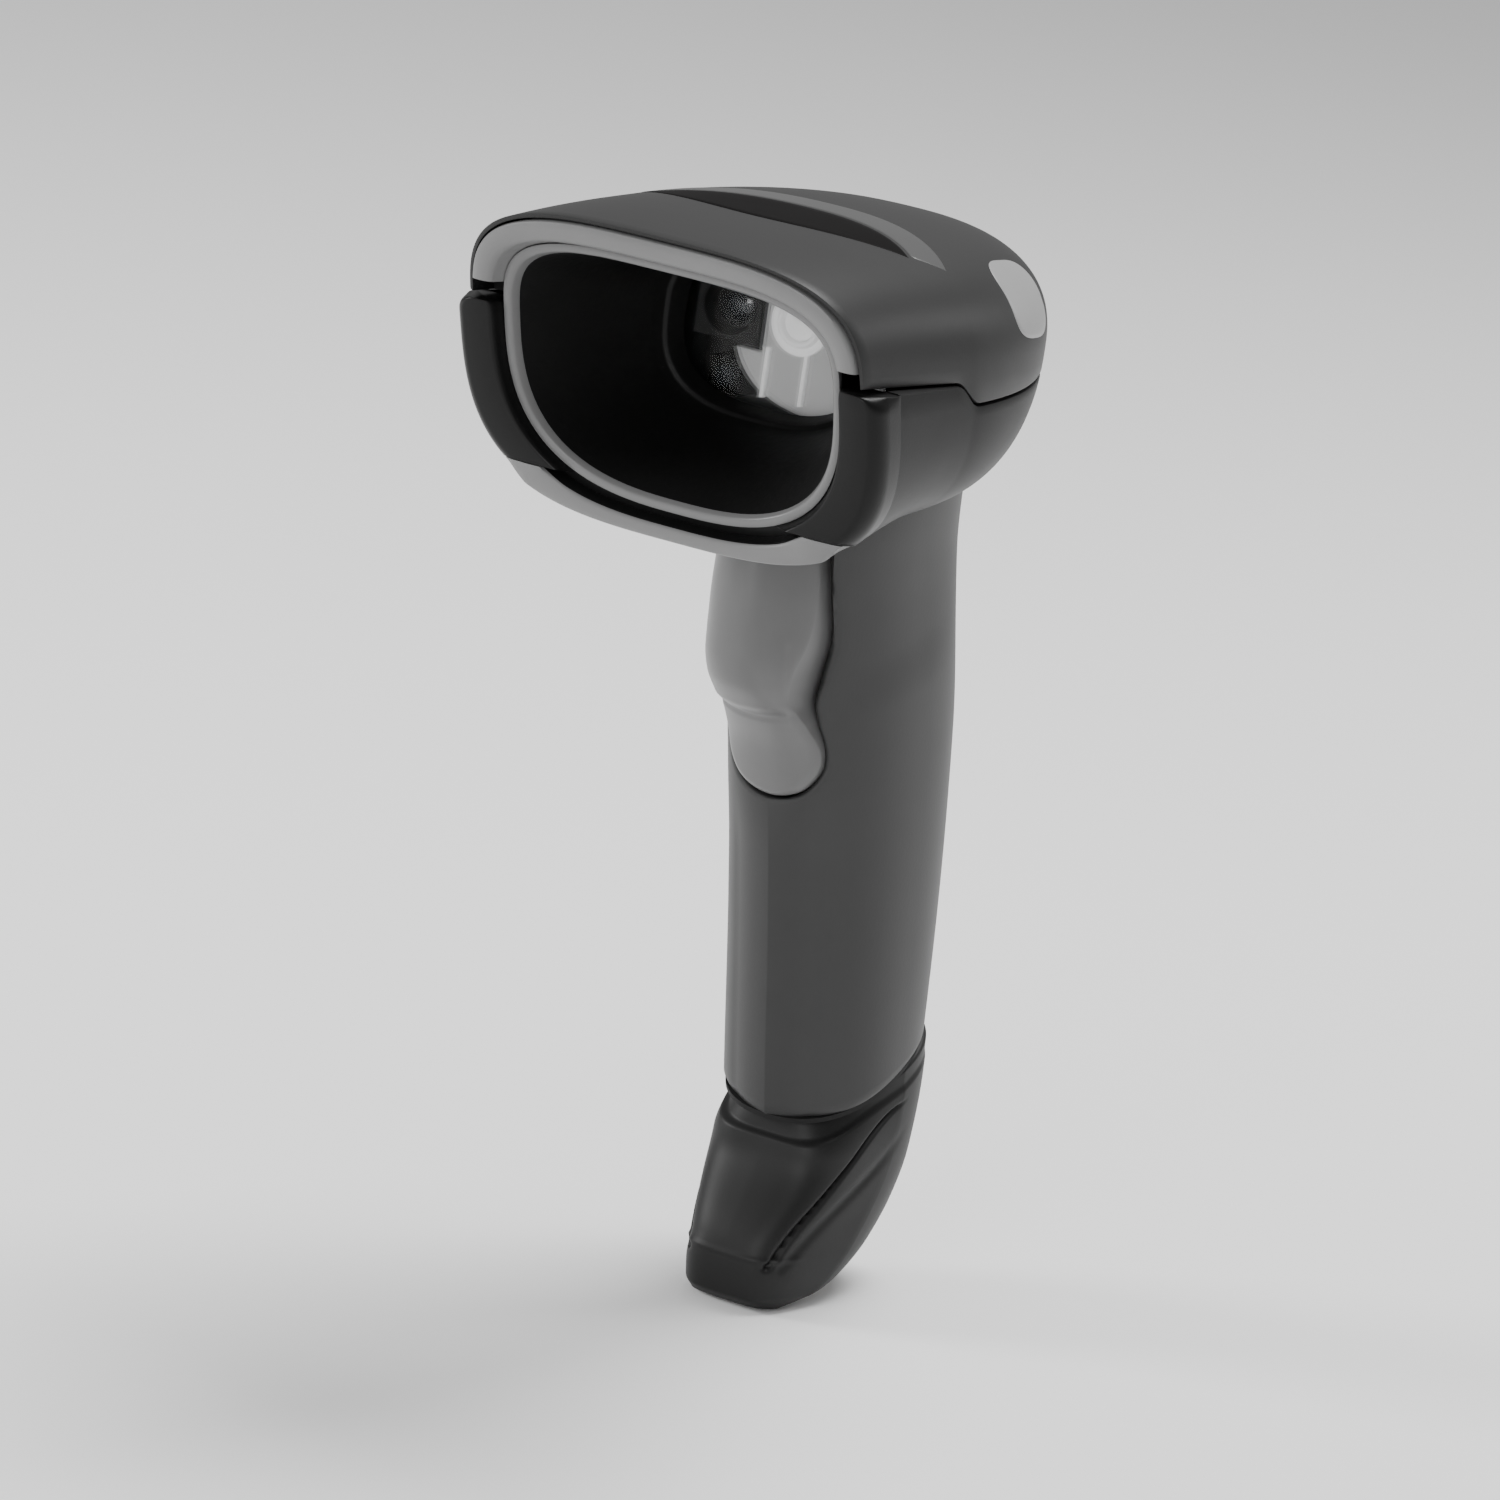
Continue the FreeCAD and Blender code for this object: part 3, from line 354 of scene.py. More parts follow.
# the angle on the right-hand side at which a section reaches a height
def angleAt(section, z):
    if z >= section["middle"]:
        t = clamp((z - section["middle"]) / max(section["top"] - section["middle"], 1e-6))
        return math.asin(t ** (section["upper"] / 2))
    t = clamp((section["middle"] - z) / max(section["middle"] - section["bottom"], 1e-6))
    return -math.asin(t ** (section["lower"] / 2))


# the line where cover and housing part, with its step behind the nose
def partingHeight(y):
    front = 147.6 - (y + 20) * 3.0 / 51
    rear = 141.2 - (y - 37.5) * 1.2 / 82.5
    height = front + (rear - front) * smooth(y, 30.6, 37.9)
    return height + (head["backZ"] - height) * smooth(y, 72, 88)


def partingAngle(section, side, lift=0.0):
    z = 145.0
    for _ in range(3):
        z = partingHeight(section["y"] + (head["partingZ"] - z) * section["lean"]) + side * head["gap"] / 2
    return angleAt(section, z + side * lift)


def headRows(start, count):
    end = head["backY"]
    rows = [start + (end - start) * math.sin(math.pi / 2 * i / (count - 1)) for i in range(count)]
    jog = evenly(30.2, 38.4, 13)
    return sorted([y for y in rows if not 29.6 < y < 39.0] + jog)


# the columns of one outer row, from the right-hand parting edge round to the left-hand one
def outerRow(y, noseHalf, side, frontInset, anglesBetween):
    section = headSection(y, noseHalf, frontInset)
    fade = roundOff(y, 80, head["backY"], 2)
    edge = head["edge"] * fade
    row = []
    for inset, lift in ((edge, 0.0), (edge * 0.29, edge * 0.29), (0.0, edge)):
        edgeSection = headSection(y, noseHalf, max(inset, frontInset))
        row.append(sectionPoint(edgeSection, partingAngle(edgeSection, side, lift)))
    first = partingAngle(section, side, edge)
    row += [sectionPoint(section, a) for a in anglesBetween(section, first)]
    mirrored = [(-x, py, z) for x, py, z in reversed(row[:3])]
    return row + mirrored


coverLook = {"columns": 74, "rows": 60, "skirt": 0.55}


def coverAngles(section, first):
    count = coverLook["columns"]
    return [first + (math.pi - 2 * first) * j / count for j in range(1, count)]


def buildCover():
    start = head["noseY"] + 0.9
    bandEnd = head["noseY"] + head["bandDepth"] + 0.15
    radius = 0.3
    rows = [(start, radius), (start + radius * 0.29, radius * 0.29), (start + radius, 0.0)]
    rows += [(y, 0.0) for y in headRows(start, coverLook["rows"]) if y > start + radius + 0.2]
    rows = sorted(rows + [(bandEnd - 0.05, 0.0), (bandEnd + 0.05, 0.0)])
    outer, inner = [], []
    for y, frontInset in rows:
        outer.append(outerRow(y, head["coverNose"], 1, frontInset, coverAngles))
        inset = coverLook["skirt"] if y < bandEnd else head["wall"]
        innerY = start + (y - start) * (head["backY"] - inset - start) / (head["backY"] - start)
        section = headSection(innerY, head["coverNose"], inset)
        first = partingAngle(section, 1)
        inner.append([sectionPoint(section, a) for a in evenly(first, math.pi - first, len(outer[0]))])
    made = Builder()
    made.grid([o + i[::-1] for o, i in zip(outer, inner)], closeColumns=True)
    made.strip(outer[0], inner[0])
    return made.make("topCover")


dress(buildCover(), coverPlastic, nodes=["top_cover"])
print("cover built")

# scan opening and hood
opening = {"half": (25.6, 15.0), "top": (155.5, 152.5), "bottom": (121.6, 133.0), "middle": (143.0, 144.0),
           "windowY": 37.0, "recess": 2.2, "trimWidth": 1.2, "trimDepth": 1.6, "hoodWall": 1.2,
           "columns": 120, "ledgeShare": 0.9}


def hoodSection(depth, grow=0.0):
    t = clamp(depth / (opening["windowY"] - head["noseY"]))
    half, top, bottom, middle = (opening[k][0] + (opening[k][1] - opening[k][0]) * t
                                 for k in ("half", "top", "bottom", "middle"))
    return {"y": head["noseY"] + depth, "half": half + grow, "top": top + grow, "bottom": bottom - grow,
            "middle": middle, "upper": 3.6, "lower": 2.7, "lean": slant * (1 - t)}


def ringOfAngles(count):
    return [2 * math.pi * (i + 0.5) / count for i in range(count)]


def buildTrim():
    front = opening["recess"]
    back = front + opening["trimDepth"]
    wide = opening["trimWidth"]
    profile = [(back, wide), (front + 0.35, wide), (front + 0.1, wide - 0.1), (front, wide - 0.35), (front, 0.4),
               (front + 0.12, 0.12), (front + 0.4, 0.0), (back, 0.0)]
    rows = [[sectionPoint(hoodSection(depth, grow), a) for a in ringOfAngles(opening["columns"])]
            for depth, grow in profile]
    made = Builder()
    made.grid(rows, closeColumns=True, closeRows=True)
    return made.make("openingTrim", 50)


def buildHood():
    front = opening["recess"] + opening["trimDepth"] + 0.05
    end = opening["windowY"] - head["noseY"]
    wall = opening["hoodWall"]
    ledge = end * opening["ledgeShare"]
    inner = [(d, 0.0) for d in evenly(front, ledge - 0.3, 14)]
    inner += [(ledge, -0.12), (ledge + 0.15, -0.45), (ledge + 0.5, -0.55)]
    inner += [(d, -0.55) for d in evenly(ledge + 1.5, end, 5)]
    outer = [(d, wall) for d in evenly(end, front, 8)]
    rows = [[sectionPoint(hoodSection(depth, grow), a) for a in ringOfAngles(opening["columns"])]
            for depth, grow in inner + outer]
    made = Builder()
    made.grid(rows, closeColumns=True, closeRows=True)
    return made.make("scanHood", 50)


dress(buildTrim(), trimPlastic, nodes=["opening_trim"])
dress(buildHood(), hoodPlastic, nodes=["scan_hood"])
print("hood built")

# nose rim, lip and cheeks
nose = {"rimInset": 0.85, "rimEndZ": 148.2, "lipTopZ": 123.3, "clear": 1.3, "rimColumns": 90, "cheekColumns": 26,
        "frontRound": 0.55, "cheekRoundX": 2.0, "cheekRoundY": 3.6, "cheekTop": 2.2,
        "channelDepth": 3.2, "channelShare": 0.34}


# How far the cheeks' outer face is rolled in at a depth behind the nose.
def cheekInset(depth):
    share = clamp(depth / nose["cheekRoundY"], 0, 1)
    return nose["cheekRoundX"] * (1 - math.sqrt(1 - (1 - share) ** 2))


# A band round the nose between the opening and the head's outer form.
def buildBand(name, noseHalf, inset, endZ, above, columns, channel=0.0, tucked=False):
    deep = head["bandDepth"]
    r = nose["frontRound"]
    face = [(r * 1.2, 0.0), (r * 0.35, 0.05), (0.0, 0.16), (-0.12, 0.35), (-0.16, 0.5),
            (-0.12, 0.65), (0.0, 0.84), (r * 0.35, 0.95), (r * 1.2, 1.0), (deep, 1.0)]
    if channel:
        face = [(depth, channel + (1 - channel) * across) for depth, across in face]
        profile = [(deep, 0.0), (nose["channelDepth"], 0.0), (nose["channelDepth"], channel)] + face
    else:
        profile = [(deep, 0.0)] + face
    rows = []
    for depth, across in profile:
        inner = hoodSection(depth, nose["clear"])
        outer = headSection(head["noseY"] + depth, noseHalf, inset)
        bent = headSection(head["noseY"] + depth, noseHalf, inset + cheekInset(depth))
        firstInner, firstOuter, firstBent = angleAt(inner, endZ), angleAt(outer, endZ), angleAt(bent, endZ)
        row = []
        for k in range(columns + 1):
            t = k / columns
            lastInner = math.pi - firstInner if above else -math.pi - firstInner
            lastOuter = math.pi - firstOuter if above else -math.pi - firstOuter
            a = sectionPoint(inner, firstInner + (lastInner - firstInner) * t)
            b = sectionPoint(outer, firstOuter + (lastOuter - firstOuter) * t)
            # the ends of the lip follow the cheeks' rounded edge
            share = 1 - smooth(min(t, 1 - t), 0.0, 0.16) if tucked else 0
            if share:
                c = sectionPoint(bent, firstBent + (-math.pi - 2 * firstBent) * t)
                b = tuple(b[i] + (c[i] - b[i]) * share for i in range(3))
            row.append(tuple(a[i] + (b[i] - a[i]) * across for i in range(3)))
        rows.append(row)
    made = Builder()
    # the channel's rows take the second material: black painted shade in the recess
    made.grid(rows, closeRows=True, secondRows=(0, 1, 2) if channel else ())
    made.cap([row[0] for row in rows])
    made.cap([row[-1] for row in rows])
    return made.make(name, 50)


dress(buildBand("noseRim", head["coverNose"], nose["rimInset"], nose["rimEndZ"], True, nose["rimColumns"]),
      rimPlastic, nodes=["nose_rim"])
# the lip's channel takes the cheeks' black as painted shade
dress(buildBand("noseLip", head["cheekNose"], 0.0, nose["lipTopZ"], False, nose["rimColumns"],
                nose["channelShare"], True), rimPlastic,
      nodes=["nose_lip"], second=cheekBlackAndChannelShade)

housingLook = {"bottomColumns": 70, "rows": 56}


def splitAngle(section):
    front = headSection(head["noseY"] + head["bandDepth"], head["cheekNose"])
    if section["y"] < front["y"]:
        return angleAt(section, nose["lipTopZ"] + 0.15)
    return angleAt(front, nose["lipTopZ"] + 0.15)


def housingAngles(section, first):
    split = splitAngle(section)
    right = evenly(first, split, nose["cheekColumns"])[1:]
    below = evenly(split, -math.pi - split, housingLook["bottomColumns"])[1:]
    left = evenly(-math.pi - split, -math.pi - first, nose["cheekColumns"])[1:-1]
    return right + below + left


def buildHousing():
    start = head["noseY"] + head["bandDepth"] + 0.15
    ys = [start] + [y for y in headRows(start, housingLook["rows"]) if y > start + 0.2]
    outer = [outerRow(y, head["cheekNose"], -1, 0.0, housingAngles) for y in ys]
    inner = []
    for y in ys:
        innerY = start + (y - start) * (head["backY"] - head["wall"] - start) / (head["backY"] - start)
        section = headSection(innerY, head["cheekNose"], head["wall"])
        first = partingAngle(section, -1)
        angles = [first] * 3 + housingAngles(section, first) + [-math.pi - first] * 3
        inner.append([sectionPoint(section, a) for a in angles])
    made = Builder()
    made.grid([o + i[::-1] for o, i in zip(outer, inner)], closeColumns=True)
    made.strip(outer[0], inner[0])
    shell = made.make("lowerHousing")
    return shell


def cheekProfile(z, sign, outerTop, innerTop):
    wide, long, small = nose["cheekRoundX"], nose["cheekRoundY"], 0.3
    deep = head["bandDepth"] + 0.15
    bend = [(long * (1 - math.sin(t)), wide * (1 - math.cos(t))) for t in evenly(0, math.pi / 2, 12)]
    outerPart = [(deep, 0.0), (deep * 0.9, 0.0)] + bend
    innerPart = [(0.0, small), (small * 0.29, small * 0.29), (small, 0.0), (1.0, 0.0), (deep, 0.0)]
    line = []
    for depth, inset in outerPart:
        section = headSection(head["noseY"] + depth, head["cheekNose"], inset)
        x, y, zz = sectionPoint(section, angleAt(section, z))
        line.append((x - outerTop * (1 - smooth(depth, 1.0, deep * 0.8)), y, zz))
    for depth, inset in innerPart:
        section = hoodSection(depth, nose["clear"] + inset)
        x, y, zz = sectionPoint(section, angleAt(section, z))
        line.append((x + innerTop, y, zz))
    return [(sign * x, y, zz) for x, y, zz in line]


def buildCheek(sign):
    top = partingHeight(head["noseY"]) - head["gap"] / 2 - 0.6
    low = nose["lipTopZ"] + 0.15
    edge, small = nose["cheekTop"], 0.3
    turns = evenly(math.pi / 2, 0, 9)
    levels = [(top - edge * (1 - math.sin(t)), edge * (1 - math.cos(t)), small * (1 - math.cos(t))) for t in turns]
    levels += [(z, 0.0, 0.0) for z in evenly(top - edge - 0.4, low, nose["cheekColumns"] + 10)]
    rows = [cheekProfile(z, sign, outerTop, innerTop) for z, outerTop, innerTop in levels]
    made = Builder()
    made.grid(rows, closeColumns=True)
    made.cap(rows[0])
    made.cap(rows[-1])
    return made.make("cheekRight" if sign > 0 else "cheekLeft", 50)


dress(buildHousing(), housingPaintedShadePlastic, nodes=["lower_housing"])
for sign in (1, -1):
    dress(buildCheek(sign), cheekBlackAndChannelShade, nodes=["lower_housing"])
print("nose and housing built")

# inlays on the cover
inlay = {"labelHalf": 20.8, "labelTipY": 31.6, "labelFrontY": 25.2, "labelBackY": 39.6,
         "stripHalf": 24.5, "stripTipY": 36.0, "stripBackY": 46.6, "gap": 0.7, "proud": 0.06}


# height of the head's upper surface over a point
def topHeight(x, realY, inset=0.0):
    y, z = realY, 160.0
    for _ in range(6):
        section = headSection(y, head["coverNose"], inset)
        t = clamp(abs(x) / section["half"], 0, 0.9999)
        z = section["middle"] + (section["top"] - section["middle"]) * (1 - t ** section["upper"]) ** (
            1 / section["upper"])
        y = realY - (head["partingZ"] - z) * section["lean"]
    return z


# y on the circle through two tips at (+-half, tipY) and the middle point (0, middleY)
def arcY(x, half, tipY, middleY):
    rise = middleY - tipY
    radius = (half * half + rise * rise) / (2 * abs(rise))
    centre = middleY - math.copysign(radius, rise)
    return centre + math.copysign(math.sqrt(max(radius * radius - x * x, 0)), rise)


def buildInlay(name, half, frontOf, backOf, columns=60, rows=10):
    edge = 0.35
    made = Builder()
    grid = []
    for i in range(columns + 1):
        x = half * math.sin(math.pi * (i / columns - 0.5))
        front, back = frontOf(x), backOf(x)
        wide = max(back - front, 0.0)
        drop = edge if wide < 0.02 else 0.0
        steps = [(0.0, edge), (0.0, 0.12), (0.12, 0.02)]
        line = [(min(into, wide / 2), down) for into, down in steps]
        inside = [(0.12 + (wide - 0.24) * k / rows, 0.0) for k in range(1, rows)] if wide > 0.3 else [
            (wide / 2, 0.05)] * (rows - 1)
        ending = [(wide - into, down) for into, down in reversed(line)]
        row = []
        for into, down in line + inside + ending:
            y = front + into
            row.append((x, y, topHeight(x, y) + inlay["proud"] - max(down, drop)))
        grid.append(row)
    made.grid(grid)
    made.grid([[g[0] for g in grid], [g[-1] for g in grid]])
    return made.make(name, 50)


def labelFront(x):
    return arcY(x, inlay["labelHalf"], inlay["labelTipY"], inlay["labelFrontY"])


def labelBack(x):
    return arcY(x, inlay["labelHalf"], inlay["labelTipY"], inlay["labelBackY"])


def stripFront(x):
    if abs(x) < inlay["labelHalf"]:
        return labelBack(x) + inlay["gap"]
    return inlay["labelTipY"] + inlay["gap"] + (abs(x) - inlay["labelHalf"]) * 1.1


def stripBack(x):
    return max(arcY(x, inlay["stripHalf"], inlay["stripTipY"], inlay["stripBackY"]), stripFront(x))


dress(buildInlay("labelPlate", inlay["labelHalf"], labelFront, labelBack), labelFilm,
      nodes=["label_plate"])
dress(buildInlay("indicatorLens", inlay["stripHalf"], stripFront, stripBack), smokedLens,
      nodes=["indicator_lens"])

# pale side lights in the rear shoulders of the cover, their paleness a painted reflection
sideLight = {"centreY": 57.5, "centreZ": 152.4, "halfLong": 8.6, "halfHigh": 4.6, "corner": 3.2, "lean": -0.12,
             "proud": 0.07, "rings": 8, "columns": 56}


def buildSideLight(sign):
    rows = []
    shares = [0.02] + [k / sideLight["rings"] for k in range(1, sideLight["rings"] + 1)] + [1.012, 1.02]
    for n, share in enumerate(shares):
        sunk = 0.35 if n == len(shares) - 1 else (0.06 if n == len(shares) - 2 else 0.0)
        row = []
        for a in ringOfAngles(sideLight["columns"]):
            along = share * sideLight["halfLong"] * power(math.cos(a), sideLight["corner"])
            y = sideLight["centreY"] + along
            z = sideLight["centreZ"] + share * sideLight["halfHigh"] * power(math.sin(a), sideLight["corner"])
            z += sideLight["lean"] * along
            section = headSection(y, head["coverNose"], sunk - sideLight["proud"])
            x, py, z = sectionPoint(section, angleAt(section, min(z, section["top"] - 0.3)))
            row.append((sign * x, py, z))
        rows.append(row)
    made = Builder()
    made.grid(rows, closeColumns=True)
    made.cap(rows[0])
    return made.make("sideLightRight" if sign > 0 else "sideLightLeft", 60)


for sign in (1, -1):
    dress(buildSideLight(sign), sideLensPaintedReflection)
print("inlays built")

# handle
handle = {"frontLine": [(20, 69.5), (26.5, 67.4), (57, 59.6), (74.5, 54.6), (90, 49.6), (104, 44), (118, 39),
                        (134, 36)],
          "backLine": [(20, 99.2), (36, 98.6), (54, 97.4), (84, 93.6), (100, 89.4), (113, 85), (124, 81.5),
                       (134, 79)],
          "halfWidths": [(20, 12.4), (60, 12.9), (100, 13.2), (112, 13.8), (122, 15.2)],
          "wall": 2.2, "jointY": 67.0, "jointZ": 26.5, "jointSlope": 0.42, "seal": 0.9, "columns": 110,
          "keel": 0.9, "edgeRound": 0.7, "hollow": 0.35}
triggerShape = {"half": 7.9, "top": 116.6, "gap": 0.45,
                "outline": [(0.0, 76.5), (0.55, 77.8), (0.86, 81), (0.92, 84.5), (0.82, 88.5), (0.73, 92), (0.82, 96),
                            (0.96, 101), (1.0, 108), (0.97, 116.6)],
                "front": [(76, 53.9), (80, 52), (84, 50), (88, 46.6), (91.5, 43), (95, 39.6), (99, 37.4), (103, 36.4),
                          (108, 36), (114, 36.2)]}


# a smooth outline through the trigger's edge points, as (x, z) from the tongue's tip up
def triggerEdge(grow=0.0, steps=14):
    knots = [(triggerShape["half"] * f, z) for f, z in triggerShape["outline"]]
    beyond = (2 * knots[-1][0] - knots[-2][0], 2 * knots[-1][1] - knots[-2][1])
    knots = [(-knots[1][0], knots[1][1])] + knots + [beyond]
    line = []
    for i in range(1, len(knots) - 2):
        for k in range(steps):
            t = k / steps
            p = []
            for axis in (0, 1):
                a, b, c, d = (knots[i + j][axis] for j in (-1, 0, 1, 2))
                p.append(0.5 * (2 * b + (c - a) * t + (2 * a - 5 * b + 4 * c - d) * t ** 2
                                + (3 * b - a - 3 * c + d) * t ** 3))
            line.append(tuple(p))
    line.append(knots[-2])
    if not grow:
        return line
    grown = []
    for i, (x, z) in enumerate(line):
        before, after = line[max(i - 1, 0)], line[min(i + 1, len(line) - 1)]
        dx, dz = after[0] - before[0], after[1] - before[1]
        if i == 0:
            dx, dz = 1.0, 0.0
        length = math.hypot(dx, dz)
        grown.append((max(x + grow * dz / length, 0.0), z - grow * dx / length))
    return grown


def widthAt(line, z):
    if z <= line[0][1]:
        return 0.0
    for (x0, z0), (x1, z1) in zip(line, line[1:]):
        if z0 <= z <= z1:
            return x0 + (x1 - x0) * (z - z0) / max(z1 - z0, 1e-9)
    return line[-1][0]


def distanceTo(line, x, z):
    best = 1e9
    x = abs(x)
    for (x0, z0), (x1, z1) in zip(line, line[1:]):
        dx, dz = x1 - x0, z1 - z0
        t = clamp(((x - x0) * dx + (z - z0) * dz) / max(dx * dx + dz * dz, 1e-9))
        best = min(best, math.hypot(x - x0 - dx * t, z - z0 - dz * t))
    return best


windowLine = [(x + 0.9 * smooth(z, 88, 95), z) for x, z in triggerEdge(triggerShape["gap"])]
windowLine.append((windowLine[-1][0], 140.0))
windowLow = windowLine[0][1]


def handlePoint(angle, z, inset=0.0):
    front = ease(z, handle["frontLine"]) + inset
    back = ease(z, handle["backLine"]) - inset
    half = ease(z, handle["halfWidths"]) - inset
    middle = (front + back) / 2
    x = half * power(math.cos(angle), 2.35)
    y = middle + (back - front) / 2 * power(math.sin(angle), 2.25)
    # a shallow hollow for the finger behind the trigger, with a soft shoulder below it
    shoulder = 91 + 0.22 * (y - front)
    hollow = smooth(z, shoulder - 3, shoulder + 5) * (1 - smooth(z, 106, 118))
    x -= math.copysign(handle["hollow"], x) * hollow * smooth(abs(x), 8.5, 12) * (1 - smooth(y - front, 22, 36))
    if math.sin(angle) < 0:
        facing = (1 - abs(x) / half)
        y += handle["keel"] * (1 - abs(2 * facing - 1)) * (1 - smooth(z, 66, 78)) * smooth(facing, 0, 0.3)
    return x, y, z


def seamAngle(z, wide, inset=0.0):
    half = ease(z, handle["halfWidths"]) - inset
    return -math.acos(clamp(wide / half) ** (2.35 / 2))


def jointHeight(y):
    return handle["jointZ"] + (y - handle["jointY"]) * handle["jointSlope"]


def solveHeight(low, high, above):
    for _ in range(26):
        middle = (low + high) / 2
        if above(middle):
            high = middle
        else:
            low = middle
    return (low + high) / 2


def headUnderside(x, realY):
    y, z = realY, 121.0
    for _ in range(5):
        section = headSection(y, head["cheekNose"], -0.1 - 0.35 * smooth(realY, 60, 70))
        t = clamp(abs(x) / max(section["half"], 1e-6), 0, 0.999)
        z = section["middle"] - (section["middle"] - section["bottom"]) * (1 - t ** section["lower"]) ** (
            1 / section["lower"])
        y = realY - (head["partingZ"] - z) * section["lean"]
    return z


def handleAngles(z, wide, inset, edges=(0.0, 0.15, 0.4, 0.8, 1.4)):
    near = [seamAngle(z, wide + e, inset) for e in edges]
    last = near[-1]
    count = handle["columns"]
    back = [last + (math.pi - 2 * last) * j / count for j in range(1, count)]
    return near + back + [math.pi - a for a in reversed(near)]


def buildHandle():
    seal = handle["seal"] / 2
    middleLow, middleHigh = 62.0, 104.0
    levels = evenly(middleLow, windowLow - 1.6, 12)
    levels += [windowLow - d for d in (1.2, 0.9, 0.7, 0.5, 0.3, 0.15, 0.0)]
    levels += [windowLow + 0.02 * k * k for k in range(1, 12)]
    levels += evenly(levels[-1] + 0.4, middleHigh, 56)
    lowShares = evenly(0, 1, 26)[:-1]
    highShares = evenly(0, 1, 22)[1:]
    outer, inner = [], []

    def edgeInset(x, z, lowGap, frontSide):
        inset = rollDrop(lowGap, 0.35)
        if frontSide and z > windowLow - 2:
            inset = max(inset, rollDrop(distanceTo(windowLine, x, z), handle["edgeRound"]))
        return inset

    limits = {}

    def column(angle, share, zone):
        if (zone, angle) not in limits:
            if zone == "low":
                limit = solveHeight(15, 50, lambda z: z > jointHeight(handlePoint(angle, z)[1]) + seal)
            else:
                limit = solveHeight(105, 134, lambda z: z > headUnderside(*handlePoint(angle, z)[:2]))
            limits[zone, angle] = limit
        limit = limits[zone, angle]
        if zone == "low":
            rise = (middleLow - limit) * share ** 1.15
            return limit + rise, rise
        return middleHigh + (limit - middleHigh) * share, 9.0

    plan = [("low", s) for s in lowShares] + [("mid", z) for z in levels] + [("high", s) for s in highShares]
    for zone, value in plan:
        roughZ = value if zone == "mid" else (40.0 if zone == "low" else 108.0)
        wide = widthAt(windowLine, roughZ) if zone != "low" else 0.0
        angles = handleAngles(roughZ, wide, 0.0)
        rowOut, rowIn = [], []
        for j, angle in enumerate(angles):
            z, lowGap = (value, 9.0) if zone == "mid" else column(angle, value, zone)
            x = handlePoint(angle, z)[0]
            front = math.sin(angle) < 0
            rowOut.append(handlePoint(angle, z, edgeInset(x, z, lowGap, front)))
            rowIn.append(handlePoint(angle, z, handle["wall"]))
        outer.append(rowOut)
        inner.append(rowIn)
    made = Builder()
    made.grid(outer)
    made.grid([row[::-1] for row in inner])
    made.strip(outer[0], inner[0])
    made.strip(outer[-1], inner[-1])
    windowRow = len(lowShares) + levels.index(windowLow)
    made.strip([row[0] for row in outer[windowRow:]], [row[0] for row in inner[windowRow:]])
    made.strip([row[-1] for row in outer[windowRow:]], [row[-1] for row in inner[windowRow:]])
    return made.make("handleShell", 50)


dress(buildHandle(), gripPlastic, nodes=["handle_shell"])
print("handle built")

# trigger
triggerLook = {"rows": 140, "columns": 72, "edgeRound": 1.1, "lobe": 0.95, "crease": 0.4}
edgeLine = triggerEdge()


def triggerFrontY(x, z):
    front = ease(z, triggerShape["front"])
    y = 62 - (62 - front) * (1 - clamp(abs(x) / 10) ** 2.3) ** (1 / 2.3)
    # the finger lobe steps out over the tongue along a smile-shaped line
    line = 89.6 + 0.028 * x * x
    y -= triggerLook["lobe"] * smooth(z - line, -0.2, 1.6) * (1 - smooth(z - line, 4.0, 13.0))
    y += triggerLook["crease"] * math.exp(-((z - line + 0.3) / 0.5) ** 2) * (1 - smooth(abs(x), 4.5, 6.5))
    # a fine crease runs down each side of the lobe
    side = abs(x) - (6.5 - 0.9 * clamp((98 - z) / 7) ** 2)
    within = smooth(z, 91.5, 93) * (1 - smooth(z, 100, 102))
    y += triggerLook["crease"] * math.exp(-(side / 0.26) ** 2) * within
    return y


def buildTrigger():
    top, tip = triggerShape["top"], edgeLine[0][1]
    zs = [tip + 0.012 * k * k for k in range(14)]
    zs += evenly(zs[-1] + 0.35, top - 0.9, triggerLook["rows"]) + [top - 0.6, top - 0.35, top - 0.15, top]
    count = triggerLook["columns"]
    shares = [math.sin(math.pi / 2 * (2 * j / count - 1)) for j in range(count + 1)]
    outer, rear = [], []
    for z in zs:
        wide = widthAt(edgeLine, z)
        row, behind = [], []
        backY = 59.5 - 3.3 * smooth(z, 79, 92)
        for share in shares:
            x = share * wide
            distance = distanceTo(edgeLine, x, z) if abs(share) > 0.5 or z < 82 else 9.0
            distance = min(distance, top - z)
            y = triggerFrontY(x, z) + rollDrop(distance, triggerLook["edgeRound"])
            row.append((x, min(y, backY - 0.2), z))
            behind.append((x, backY, z))
        outer.append(row)
        rear.append(behind)
    made = Builder()
    made.grid(outer)
    made.grid([row[::-1] for row in rear])
    made.strip([row[0] for row in outer], [row[0] for row in rear])
    made.strip([row[-1] for row in outer], [row[-1] for row in rear])
    made.strip(outer[-1], rear[-1])
    return made.make("trigger", 50)


dress(buildTrigger(), triggerPlastic, body="trigger", nodes=["trigger"])
print("trigger built")

# the return spring behind the trigger, built as one fixed coil
spring = {"frontY": 46.25, "rearY": 63.3, "z": 98.0, "radius": 2.2, "wire": 0.28,
          "turns": 6, "steps": 30, "sides": 8}


def buildSpring():
    wire, radius = spring["wire"], spring["radius"]
    first, last = spring["frontY"] + wire, spring["rearY"] - wire
    made = Builder()
    rows = []
    for t in evenly(0, 1, spring["turns"] * spring["steps"]):
        turn = 2 * math.pi * spring["turns"] * t
        ring = []
        for j in range(spring["sides"]):
            around = 2 * math.pi * j / spring["sides"]
            reach = radius + wire * math.cos(around)
            ring.append((reach * math.cos(turn), first + (last - first) * t + wire * math.sin(around),
                         spring["z"] + reach * math.sin(turn)))
        rows.append(ring)
    made.grid(rows, closeColumns=True)
    made.cap(rows[0])
    made.cap(rows[-1])
    return made.make("trigger_spring_coil")


